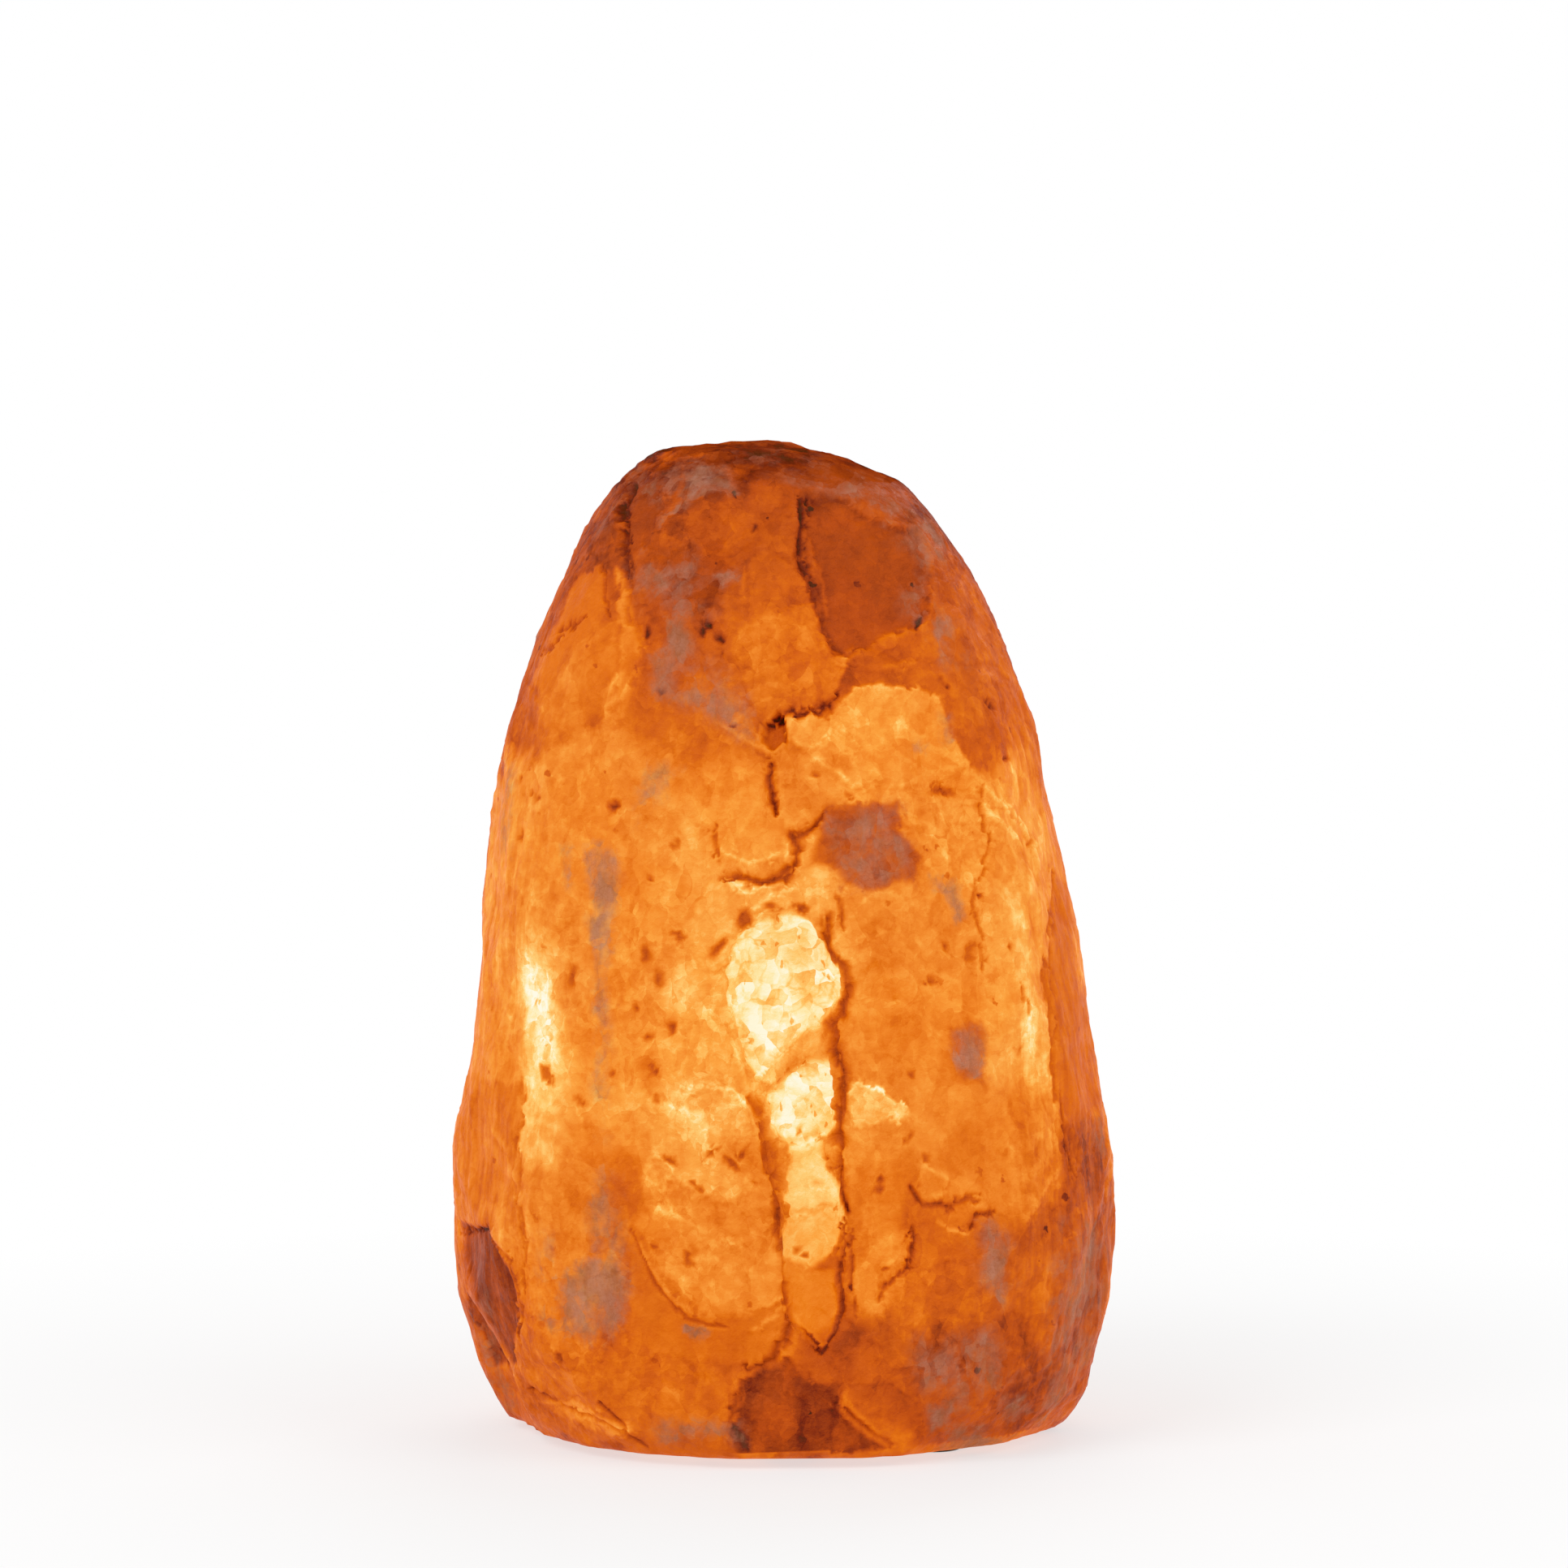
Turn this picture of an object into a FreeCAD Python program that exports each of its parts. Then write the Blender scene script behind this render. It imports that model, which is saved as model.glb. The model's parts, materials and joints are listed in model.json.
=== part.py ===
"""Salt crystal lamp: a rough-hewn block of rock salt over a small screw-base lamp and its holder.

Units are millimetres. Z is up, the floor is z = 0 under the feet, -Y is the front. The block's box
is centred on the Z axis. The holder, its spring clips and the lamp share the axis of the bore that
is drilled up into the block from its sawn underside.
"""

import FreeCAD
import Part
import math
import os

V = FreeCAD.Vector

# ---------------------------------------------------------------- salt block
# Outline of the block: height above the sawn underside, then how far it reaches left, right,
# front and back of its middle, and how square its section is (2 gives an ellipse).
ROCK_SECTIONS = [
    (0.0, 61.0, 63.8, 58.5, 51.0, 1.95),
    (10.0, 66.5, 71.2, 61.5, 55.5, 2.2),
    (26.0, 71.6, 72.6, 62.5, 58.5, 2.6),
    (44.0, 72.4, 74.8, 63.0, 60.5, 2.8),
    (60.0, 73.6, 73.6, 62.5, 61.5, 2.9),
    (80.0, 68.5, 70.0, 61.0, 61.0, 2.9),
    (100.0, 67.3, 66.9, 59.5, 59.5, 2.8),
    (118.0, 66.0, 63.9, 57.0, 57.0, 2.8),
    (137.0, 64.1, 58.9, 53.5, 53.5, 2.7),
    (156.0, 60.6, 56.9, 49.5, 50.0, 2.6),
    (173.0, 54.9, 49.9, 44.5, 44.0, 2.5),
    (188.0, 48.2, 43.1, 39.0, 39.0, 2.4),
    (201.0, 42.2, 34.2, 32.0, 33.0, 2.3),
    (209.5, 36.0, 26.6, 24.0, 25.5, 2.2),
    (215.2, 27.0, 11.0, 14.0, 15.0, 2.1),
]
CROWN_SLOPE = 0.03  # the top section falls to the right by this much per mm
CREST = (-3.0, 2.0, 218.0)  # the highest corner: x, y, height above the underside
SECTION_CORNERS = 18  # round each section
CORNER_SHIFT = 2.0  # how far hewn corners stand off the outline, at most
CORNER_SLEW = 0.3  # and along it, as a share of the gap between corners
CORNER_LIFT = 0.28  # and up it, as a share of the gap between sections

# Cleavage faces, each a flat break with sloping ledges: bearing (0 right, -90 front), height above
# the underside, depth at its middle, width, length, then how far it leans back and swings to the
# left of the outline there, in degrees.
CLEAVAGES = [
    (-60.0, 184.0, 3.0, 36.0, 46.0, 5.0, 3.0),
    (-120.0, 191.0, 2.2, 24.0, 28.0, 9.0, -5.0),
    (-160.0, 22.0, 3.6, 26.0, 38.0, -9.0, 6.0),
    (-106.0, 138.0, 1.7, 34.0, 30.0, -9.0, 5.0),
    (-54.0, 134.0, 1.8, 26.0, 34.0, 7.0, -9.0),
    (-136.0, 86.0, 1.8, 24.0, 56.0, 3.0, 9.0),
    (-40.0, 62.0, 2.2, 26.0, 58.0, -3.0, -8.0),
    (-112.0, 30.0, 1.8, 40.0, 28.0, -11.0, -3.0),
    (-74.0, 92.0, 1.5, 22.0, 30.0, 8.0, -7.0),
    (36.0, 150.0, 2.6, 32.0, 44.0, 6.0, -5.0),
    (72.0, 92.0, 2.4, 40.0, 52.0, -4.0, 7.0),
    (104.0, 164.0, 2.6, 38.0, 38.0, 9.0, 4.0),
    (126.0, 62.0, 2.6, 38.0, 48.0, -5.0, -7.0),
    (152.0, 126.0, 2.2, 26.0, 42.0, 5.0, 6.0),
    (86.0, 32.0, 2.0, 44.0, 26.0, -9.0, 4.0),
]
CLEAVAGE_CORNERS = 5  # of each break's outline
CLEAVAGE_CLEAR = 12.0  # thickness of what each break takes away, outward of its outline
CLEAVAGE_FLARE = 1.6  # the ledges' run for each mm of their rise

# The split in the front face, seen from the front: x, height above the underside.
SPLIT_OUTLINE = [
    (-7.5, 113.0),
    (7.0, 115.0),
    (9.0, 107.0),
    (13.5, 96.0),
    (9.5, 84.0),
    (12.0, 70.0),
    (10.5, 57.0),
    (13.5, 42.0),
    (9.5, 21.0),
    (1.0, 37.0),
    (2.0, 56.0),
    (-5.0, 71.0),
    (-11.5, 93.0),
]
SPLIT_DEPTH = 4.5

BORE_X = 1.5
BORE_Y = 0.0
BORE_HEADROOM = 3.0  # of the bore's straight wall above the lamp when it is screwed out
BORE_POINT = 6.0  # height of the cone that the drill's point leaves at the bore's end
MOUTH_CHAMFER = 2.0
CORD_SLOT_WIDTH = 10.0
CORD_SLOT_HEIGHT = 10.0

# ---------------------------------------------------------------- feet
FOOT_HEIGHT = 2.0
FOOT_DIAMETER = 13.0
FOOT_INSET = 11.0  # from the underside's edge to the foot's rim
FOOT_BEARINGS = {
    "foot_front_right": -42.0,
    "foot_front_left": -138.0,
    "foot_back_left": 138.0,
    "foot_back_right": 42.0,
}
FOOT_EDGE = 0.6

# ---------------------------------------------------------------- lamp holder
FIT_GAP = 0.1  # between pieces of the holder that are pushed or screwed together
HOLDER_LIFT = 14.0  # from the underside up to the cord inlet, which leaves the cord its bend
GLAND_FLATS = 15.0
GLAND_HEAD_HEIGHT = 3.0
GLAND_NECK_DIAMETER = 10.0
GLAND_BORE_DIAMETER = 6.4
GLAND_CLEARANCE = 1.0  # between the neck's end and the terminal screws

CAP_HEIGHT = 14.0
CAP_WALL = 1.9
CAP_CROWN_RADIUS = 6.5

SKIRT_DIAMETER = 27.2
SKIRT_WALL = 2.0
SKIRT_HEIGHT = 30.0  # above the shoulder
SHOULDER_OVERHANG = 1.5  # beyond the cap
SHOULDER_HEIGHT = 2.6
SPIGOT_HEIGHT = 4.2  # the part of the shell inside the cap
SPIGOT_WALL = 0.9
LIP_CLEARANCE = 0.8  # round the screw shell
LIP_HEIGHT = 2.0

PLATE_CLEARANCE = 1.5  # between the clip plate's rim and the bore
PLATE_THICKNESS = 0.8
PLATE_RIM_HEIGHT = 2.2
VENT_DIAMETER = 2.6
VENT_COUNT = 4

RING_WALL = 2.8
RING_HEIGHT = 4.2
RING_NOTCHES = 16
RING_NOTCH_DIAMETER = 1.8

CLIP_THICKNESS = 0.5
CLIP_WIDTH = 9.0
CLIP_FOOT_LENGTH = 2.95
CLIP_BEND = 0.7  # inside radius of the bend at the clip's root
CLIP_LEAN = 1.5  # how far the elbow stands out from the root
CLIP_RISE = 14.0  # from the root bend to the elbow that bears on the bore
CLIP_TAIL = 10.0  # from the elbow to the tip
CLIP_TAIL_SET = 3.0  # how far the tip leans back in from the elbow
CLIP_REST_GAP = 0.3  # between the elbow and the bore
CLIP_BEARINGS = {"left": 180.0, "right": 0.0}
RIVET_SHANK = 1.6
RIVET_HEAD = 2.8
RIVET_HEAD_HEIGHT = 0.6

INSERT_FLANGE_HEIGHT = 1.8
INSERT_BASE_HEIGHT = 16.0
INSERT_TUBE_WALL = 1.6
POCKET_OFFSET = 6.4
POCKET_HEIGHT = 7.0
TERMINAL_WIDTH = 5.0
TERMINAL_DEPTH = 6.0
TERMINAL_HEIGHT = 6.4
TERMINAL_SCREW_DIAMETER = 2.0
TERMINAL_HEAD_DIAMETER = 3.2
TERMINAL_HEAD_HEIGHT = 1.4
SCREW_SLOT = 0.6
WIRE_HOLE_DIAMETER = 2.2

SHELL_CLEARANCE = 0.2  # round the lamp's cap
SHELL_SHEET = 0.35
SHELL_LENGTH = 18.0
SHELL_FLOOR_HOLE = 8.4
CONTACT_LENGTH = 6.4
CONTACT_WIDTH = 3.6
CONTACT_SHEET = 0.4
CONTACT_ARCH = 1.3
CONTACT_RIVET_DIAMETER = 1.8

# ---------------------------------------------------------------- lamp
LAMP_SEAT_GAP = 0.1  # between the lamp's end contact and the arch of the holder's contact
LAMP_LENGTH = 62.0
LAMP_DIAMETER = 28.0
LAMP_CAP_DIAMETER = 13.9
LAMP_CAP_SHEET = 0.3
LAMP_CAP_LENGTH = 18.5  # end contact, insulator and screw barrel together
LAMP_CAP_CONE = 2.6
INSULATOR_HEIGHT = 1.9
INSULATOR_DIAMETER = 8.2
EYELET_DIAMETER = 5.0
EYELET_HEIGHT = 1.0
GLASS_WALL = 0.7
GLASS_FIT = 0.15  # between the glass neck and the cap
GLASS_SOCKET_DEPTH = 4.0  # how far the glass neck stands inside the cap
GLASS_NECK_RISE = 3.0  # of the straight neck above the cap
STEM_CLEARANCE = 1.0  # between the stem's flare and the neck
STEM_DIAMETER = 4.4
STEM_LENGTH = 17.0
PINCH_HEIGHT = 6.0
BEAD_DIAMETER = 1.8
BEAD_HEIGHT = 3.0
LEAD_DIAMETER = 0.7
LEAD_SPREAD = 11.0
FILAMENT_DIAMETER = 0.8
FILAMENT_HEIGHT = 11.0  # above the stem's pinch
FILAMENT_BOW = 3.0
SUPPORT_DIAMETER = 0.4
SUPPORT_KNEE = 1.5  # the support's upright run above the bead

THREAD_PITCH = 2.822  # of the screw barrel
THREAD_TURNS = 4  # that free the lamp

# ---------------------------------------------------------------- heights that follow
UNDERSIDE = FOOT_HEIGHT

SHELL_RADIUS = LAMP_CAP_DIAMETER / 2 + SHELL_CLEARANCE
INSERT_BORE_RADIUS = SHELL_RADIUS + SHELL_SHEET + FIT_GAP
SKIRT_BORE_RADIUS = SKIRT_DIAMETER / 2 - SKIRT_WALL
SPIGOT_RADIUS = SKIRT_BORE_RADIUS + SPIGOT_WALL
CAP_BORE_RADIUS = SPIGOT_RADIUS + FIT_GAP
CAP_RADIUS = CAP_BORE_RADIUS + CAP_WALL
RING_BORE_RADIUS = SKIRT_DIAMETER / 2 + FIT_GAP
RING_RADIUS = RING_BORE_RADIUS + RING_WALL
CLIP_AXIS_R = RING_RADIUS + FIT_GAP + CLIP_FOOT_LENGTH
CLIP_ELBOW_R = CLIP_AXIS_R + CLIP_BEND + CLIP_LEAN
BORE_RADIUS = math.hypot(CLIP_ELBOW_R + CLIP_THICKNESS + CLIP_REST_GAP, CLIP_WIDTH / 2)

GLAND_Z = UNDERSIDE + HOLDER_LIFT
CAP_Z = GLAND_Z + GLAND_HEAD_HEIGHT
CAP_RIM_Z = CAP_Z + CAP_HEIGHT
SHOULDER_Z = CAP_RIM_Z + FIT_GAP
PLATE_Z = SHOULDER_Z + SHOULDER_HEIGHT
PLATE_TOP_Z = PLATE_Z + PLATE_THICKNESS
SKIRT_TOP_Z = PLATE_Z + SKIRT_HEIGHT
SPIGOT_Z = CAP_RIM_Z - SPIGOT_HEIGHT
INSERT_Z = SPIGOT_Z - INSERT_FLANGE_HEIGHT - FIT_GAP
INSERT_DECK_Z = INSERT_Z + INSERT_BASE_HEIGHT
INSERT_TOP_Z = SKIRT_TOP_Z - LIP_HEIGHT - FIT_GAP
TERMINAL_TOP_Z = INSERT_Z + POCKET_HEIGHT - FIT_GAP
TERMINAL_Z = TERMINAL_TOP_Z - TERMINAL_HEIGHT
SCREW_HEAD_Z = TERMINAL_Z - TERMINAL_HEAD_HEIGHT
CONTACT_TOP_Z = INSERT_DECK_Z + CONTACT_ARCH + CONTACT_SHEET
LAMP_Z = CONTACT_TOP_Z + LAMP_SEAT_GAP
LAMP_TOP_Z = LAMP_Z + LAMP_LENGTH
CAP_TOP_Z = LAMP_Z + LAMP_CAP_LENGTH
NECK_Z = CAP_TOP_Z - GLASS_SOCKET_DEPTH
PINCH_Z = NECK_Z + STEM_LENGTH
CLIP_AXIS_Z = PLATE_TOP_Z + CLIP_THICKNESS + CLIP_BEND
BORE_WALL_TOP = LAMP_TOP_Z + THREAD_TURNS * THREAD_PITCH + BORE_HEADROOM - UNDERSIDE

GLASS_NECK_RADIUS = LAMP_CAP_DIAMETER / 2 - LAMP_CAP_SHEET - GLASS_FIT


# ---------------------------------------------------------------- helpers
def revolve(points):
    """A solid of revolution about Z from a closed (radius, z) outline.

    A point given as (radius, z, "arc", mid radius, mid z) is reached by an arc through the middle point.
    """
    edges = []
    for start, end in zip(points, points[1:] + points[:1]):
        a = V(start[0], 0, start[1])
        b = V(end[0], 0, end[1])
        if len(end) > 2:
            edges.append(Part.Arc(a, V(end[3], 0, end[4]), b).toShape())
        else:
            edges.append(Part.LineSegment(a, b).toShape())
    face = Part.Face(Part.Wire(edges))
    return face.revolve(V(0, 0, 0), V(0, 0, 1), 360)


def tube(outer, inner, low, high):
    """An upright tube from its two radii and its end heights."""
    return revolve([(inner, low), (outer, low), (outer, high), (inner, high)])


def rod(radius, low, high, x=0.0, y=0.0):
    """An upright round bar."""
    return Part.makeCylinder(radius, high - low, V(x, y, low))


def block(width, depth, low, high, x=0.0, y=0.0):
    """An upright box centred on x, y."""
    return Part.makeBox(width, depth, high - low, V(x - width / 2, y - depth / 2, low))


def turned(shape, bearing):
    """A copy of a shape turned about the Z axis by a bearing in degrees."""
    copy = shape.copy()
    copy.rotate(V(0, 0, 0), V(0, 0, 1), bearing)
    return copy


def polar(radius, bearing, z=0.0):
    """The point at a radius and bearing from the Z axis."""
    angle = math.radians(bearing)
    return V(radius * math.cos(angle), radius * math.sin(angle), z)


def dome_middle(radius, rise):
    """The middle of an arc that starts level at the axis and rises towards a radius."""
    arc_radius = (radius * radius + rise * rise) / (2 * rise)
    middle = radius * 0.6
    return middle, arc_radius - math.sqrt(arc_radius * arc_radius - middle * middle)


def round_bar(points, diameter):
    """A round bar swept along straight runs joined by round corners."""
    path = Part.makePolygon(points)
    start = points[1] - points[0]
    profile = Part.Wire(Part.makeCircle(diameter / 2, points[0], start))
    return path.makePipeShell([profile], True, False, 2)


# ---------------------------------------------------------------- salt block
def reach(section, bearing):
    """Outline radius of a section at a bearing."""
    height, left, right, front, back, squareness = section
    c = math.cos(math.radians(bearing))
    s = math.sin(math.radians(bearing))
    half_x = right if c >= 0 else left
    half_y = back if s >= 0 else front
    return (abs(c / half_x) ** squareness + abs(s / half_y) ** squareness) ** (-1 / squareness)


def scatter(row, index, seed):
    """An even spread of numbers from -1 to 1, always the same for the same corner."""
    value = math.sin(12.9898 * row + 78.233 * index + 37.719 * seed) * 4375.85
    return 2 * (value - math.floor(value)) - 1


def corner(row, index, inset_front):
    """One corner of the hewn block. Rows are staggered, so three corners make each flat facet."""
    step = 360.0 / SECTION_CORNERS
    bearing = step * (index + 0.5 * (row % 2) + CORNER_SLEW * scatter(row, index, 1))
    height = ROCK_SECTIONS[row][0]
    inner_row = 0 < row < len(ROCK_SECTIONS) - 1
    if inner_row:
        gap = min(ROCK_SECTIONS[row + 1][0] - height, height - ROCK_SECTIONS[row - 1][0])
        height += CORNER_LIFT * gap * scatter(row, index, 3)
    section = section_at(height)
    side_on = math.sin(math.radians(bearing)) ** 2
    shift = CORNER_SHIFT * side_on * scatter(row, index, 2) if inner_row else 0.0
    point = polar(reach(section, bearing) + shift, bearing, height)
    if row == len(ROCK_SECTIONS) - 1:
        point.z -= CROWN_SLOPE * point.x
    if point.y < 0:
        point.y += inset_front * (point.y / section[3]) ** 2
    return point


def rock_form(inset_front=0.0):
    """The block before its breaks, as flat facets. inset_front pulls its front half in."""
    count = SECTION_CORNERS
    rows = []
    for row in range(len(ROCK_SECTIONS)):
        rows.append([corner(row, index, inset_front) for index in range(count)])
    triangles = []
    for row, (low, high) in enumerate(zip(rows, rows[1:])):
        for i in range(count):
            j = (i + 1) % count
            if row % 2 == 0:
                triangles.append((low[i], low[j], high[i]))
                triangles.append((high[i], low[j], high[j]))
            else:
                triangles.append((low[i], high[j], high[i]))
                triangles.append((low[i], low[j], high[j]))
    crest = V(*CREST)
    crest.y += inset_front * (crest.y / ROCK_SECTIONS[-1][3]) ** 2 if crest.y < 0 else 0.0
    for i in range(count):
        triangles.append((rows[-1][i], rows[-1][(i + 1) % count], crest))
    faces = [Part.Face(Part.makePolygon(list(three) + [three[0]])) for three in triangles]
    faces.append(Part.Face(Part.makePolygon(rows[0] + rows[0][:1])))
    return Part.makeSolid(Part.makeShell(faces))


def section_at(height):
    """The outline values at any height, between the listed sections."""
    for low, high in zip(ROCK_SECTIONS, ROCK_SECTIONS[1:]):
        if low[0] <= height <= high[0]:
            share = (height - low[0]) / (high[0] - low[0])
            return tuple(a + share * (b - a) for a, b in zip(low, high))
    raise ValueError("height is above the sections")


def outline_point(bearing, height):
    """The point of the block's outline at a bearing and a height above the underside."""
    return polar(reach(section_at(height), bearing), bearing, height)


def cleavage_tool(index, bearing, height, depth, width, length, lean, swing):
    """The block that one cleavage break takes away: flat side in, ledges flaring outward."""
    along = outline_point(bearing + 3, height) - outline_point(bearing - 3, height)
    up = outline_point(bearing, height + 3) - outline_point(bearing, height - 3)
    along.normalize()
    up.normalize()
    out = along.cross(up)
    out += up * math.tan(math.radians(lean)) - along * math.tan(math.radians(swing))
    out.normalize()
    along = up.cross(out).normalize()
    up = out.cross(along)
    grow = 1 + CLEAVAGE_FLARE * (depth + CLEAVAGE_CLEAR) / min(width, length) * 2
    centre = outline_point(bearing, height)
    inner = []
    outer = []
    for i in range(CLEAVAGE_CORNERS):
        turn = 2 * math.pi * (i + 0.3 * scatter(index, i, 4)) / CLEAVAGE_CORNERS
        size = 1 + 0.14 * scatter(index, i, 5)
        spoke = along * (width / 2 * size * math.cos(turn)) + up * (length / 2 * size * math.sin(turn))
        inner.append(centre - out * depth + spoke)
        outer.append(centre + out * CLEAVAGE_CLEAR + spoke * grow)
    wires = [Part.makePolygon(points + points[:1]) for points in (inner, outer)]
    return Part.makeLoft(wires, True, True)


def split_tool():
    """What the split removes: its outline through the front face, down to an even depth."""
    corners = [V(x, 0, z) for x, z in SPLIT_OUTLINE]
    face = Part.Face(Part.makePolygon(corners + corners[:1]))
    front_reach = max(section[3] for section in ROCK_SECTIONS)
    prism = face.extrude(V(0, -front_reach - 2 * SPLIT_DEPTH, 0))
    return prism.cut(rock_form(SPLIT_DEPTH))


def bore_tool():
    """The drilled bore with its pointed end and chamfered mouth, on the Z axis from z = 0."""
    return revolve(
        [
            (0, -1),
            (BORE_RADIUS + MOUTH_CHAMFER + 1, -1),
            (BORE_RADIUS, MOUTH_CHAMFER),
            (BORE_RADIUS, BORE_WALL_TOP),
            (0, BORE_WALL_TOP + BORE_POINT),
        ]
    )


def cord_slot_tool():
    """The sawn slot that leads the cord from the bore to the back, with a round roof."""
    back_reach = max(section[4] for section in ROCK_SECTIONS)
    half = CORD_SLOT_WIDTH / 2
    straight = CORD_SLOT_HEIGHT - half
    outline = Part.Wire(
        [
            Part.LineSegment(V(-half, 0, -1), V(half, 0, -1)).toShape(),
            Part.LineSegment(V(half, 0, -1), V(half, 0, straight)).toShape(),
            Part.Arc(V(half, 0, straight), V(0, 0, CORD_SLOT_HEIGHT), V(-half, 0, straight)).toShape(),
            Part.LineSegment(V(-half, 0, straight), V(-half, 0, -1)).toShape(),
        ]
    )
    return Part.Face(outline).extrude(V(0, back_reach + CORD_SLOT_WIDTH, 0))


def salt_crystal():
    """The hewn block with its split, bore and cord slot, centred on the axis and on its feet."""
    breaks = [cleavage_tool(index, *face) for index, face in enumerate(CLEAVAGES)]
    rock = rock_form().cut(breaks + [split_tool()])
    across = [corner.X for corner in rock.Vertexes]
    along = [corner.Y for corner in rock.Vertexes]
    rock.translate(V(-(min(across) + max(across)) / 2, -(min(along) + max(along)) / 2, 0))
    drilled = bore_tool().fuse(cord_slot_tool())
    drilled.translate(V(BORE_X, BORE_Y, 0))
    rock = rock.cut(drilled)
    rock.translate(V(0, 0, UNDERSIDE))
    return rock


def foot(bearing):
    """A round rubber foot under the block, set in from the edge of the underside."""
    radius = FOOT_DIAMETER / 2
    spot = polar(reach(ROCK_SECTIONS[0], bearing) - FOOT_INSET - radius, bearing)
    body = revolve(
        [
            (0, 0),
            (radius - FOOT_EDGE, 0),
            (radius, FOOT_EDGE, "arc", radius - FOOT_EDGE * 0.3, FOOT_EDGE * 0.3),
            (radius, FOOT_HEIGHT),
            (0, FOOT_HEIGHT),
        ]
    )
    body.translate(spot)
    return body


# ---------------------------------------------------------------- holder
def cord_gland():
    """Hexagonal inlet bush with a round neck that screws into the cap."""
    corner = GLAND_FLATS / 2 / math.cos(math.radians(30))
    corners = [polar(corner, 60.0 * i, GLAND_Z) for i in range(6)]
    head = Part.Face(Part.makePolygon(corners + corners[:1])).extrude(V(0, 0, GLAND_HEAD_HEIGHT))
    trim = revolve(
        [
            (0, GLAND_Z),
            (GLAND_FLATS / 2, GLAND_Z),
            (corner, GLAND_Z + (corner - GLAND_FLATS / 2) * 0.6),
            (corner, GLAND_Z + GLAND_HEAD_HEIGHT),
            (0, GLAND_Z + GLAND_HEAD_HEIGHT),
        ]
    )
    neck_top = SCREW_HEAD_Z - GLAND_CLEARANCE
    neck = rod(GLAND_NECK_DIAMETER / 2, GLAND_Z + GLAND_HEAD_HEIGHT, neck_top)
    bore = rod(GLAND_BORE_DIAMETER / 2, GLAND_Z - 1, neck_top + 1)
    return head.common(trim).fuse(neck).cut(bore).removeSplitter()


def holder_cap():
    """The lower cup of the holder: a round-shouldered cap with a ledge that carries the insert."""
    outer = CAP_RADIUS
    inner = CAP_BORE_RADIUS
    hole = GLAND_NECK_DIAMETER / 2 + FIT_GAP
    ledge = inner - CAP_WALL
    crown = CAP_CROWN_RADIUS
    corner = math.sin(math.radians(45))
    inner_crown = crown - CAP_WALL
    return revolve(
        [
            (hole, CAP_Z),
            (outer - crown, CAP_Z),
            (outer, CAP_Z + crown, "arc", outer - crown + crown * corner, CAP_Z + crown - crown * corner),
            (outer, CAP_RIM_Z),
            (inner, CAP_RIM_Z),
            (inner, INSERT_Z - FIT_GAP),
            (ledge, INSERT_Z - FIT_GAP),
            (ledge, CAP_Z + crown),
            (
                ledge - inner_crown,
                CAP_Z + CAP_WALL,
                "arc",
                ledge - inner_crown + inner_crown * corner,
                CAP_Z + crown - inner_crown * corner,
            ),
            (hole, CAP_Z + CAP_WALL),
        ]
    )


def holder_shell():
    """The upper shell: a spigot inside the cap, a shoulder under the plate and a long skirt."""
    skirt = SKIRT_DIAMETER / 2
    shoulder = CAP_RADIUS + SHOULDER_OVERHANG
    opening = SHELL_RADIUS + SHELL_SHEET + LIP_CLEARANCE
    return revolve(
        [
            (SKIRT_BORE_RADIUS, SPIGOT_Z),
            (SPIGOT_RADIUS, SPIGOT_Z),
            (SPIGOT_RADIUS, SHOULDER_Z),
            (shoulder, SHOULDER_Z),
            (shoulder, PLATE_Z),
            (skirt, PLATE_Z),
            (skirt, SKIRT_TOP_Z - LIP_HEIGHT),
            (
                skirt - LIP_HEIGHT,
                SKIRT_TOP_Z,
                "arc",
                skirt - LIP_HEIGHT * 0.3,
                SKIRT_TOP_Z - LIP_HEIGHT * 0.3,
            ),
            (opening, SKIRT_TOP_Z),
            (opening, SKIRT_TOP_Z - LIP_HEIGHT),
            (SKIRT_BORE_RADIUS, SKIRT_TOP_Z - LIP_HEIGHT),
        ]
    )


def insulator_insert():
    """Moulded insulator: a flanged base with two terminal pockets under a tube for the screw shell."""
    inner = SKIRT_BORE_RADIUS - FIT_GAP
    shell_hole = INSERT_BORE_RADIUS
    tube_radius = shell_hole + INSERT_TUBE_WALL
    body = revolve(
        [
            (0, INSERT_Z),
            (SPIGOT_RADIUS, INSERT_Z),
            (SPIGOT_RADIUS, INSERT_Z + INSERT_FLANGE_HEIGHT),
            (inner, INSERT_Z + INSERT_FLANGE_HEIGHT),
            (inner, INSERT_DECK_Z),
            (tube_radius, INSERT_DECK_Z + (inner - tube_radius)),
            (tube_radius, INSERT_TOP_Z),
            (shell_hole, INSERT_TOP_Z),
            (shell_hole, INSERT_DECK_Z),
            (0, INSERT_DECK_Z),
        ]
    )
    cuts = [rod(CONTACT_RIVET_DIAMETER / 2 + FIT_GAP, INSERT_Z - 1, INSERT_DECK_Z + 1)]
    for side in (-1, 1):
        cuts.append(
            block(
                TERMINAL_WIDTH + 2 * FIT_GAP,
                TERMINAL_DEPTH + 2 * FIT_GAP,
                INSERT_Z - 1,
                INSERT_Z + POCKET_HEIGHT,
                side * POCKET_OFFSET,
            )
        )
    return body.cut(cuts)


def screw_shell():
    """Rolled brass shell that takes the lamp's cap, with an open floor for the end contact."""
    inner = SHELL_RADIUS
    floor_z = INSERT_DECK_Z + FIT_GAP
    return revolve(
        [
            (SHELL_FLOOR_HOLE / 2, floor_z),
            (inner + SHELL_SHEET, floor_z),
            (inner + SHELL_SHEET, floor_z + SHELL_LENGTH),
            (inner, floor_z + SHELL_LENGTH),
            (inner, floor_z + SHELL_SHEET),
            (SHELL_FLOOR_HOLE / 2, floor_z + SHELL_SHEET),
        ]
    )


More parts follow.
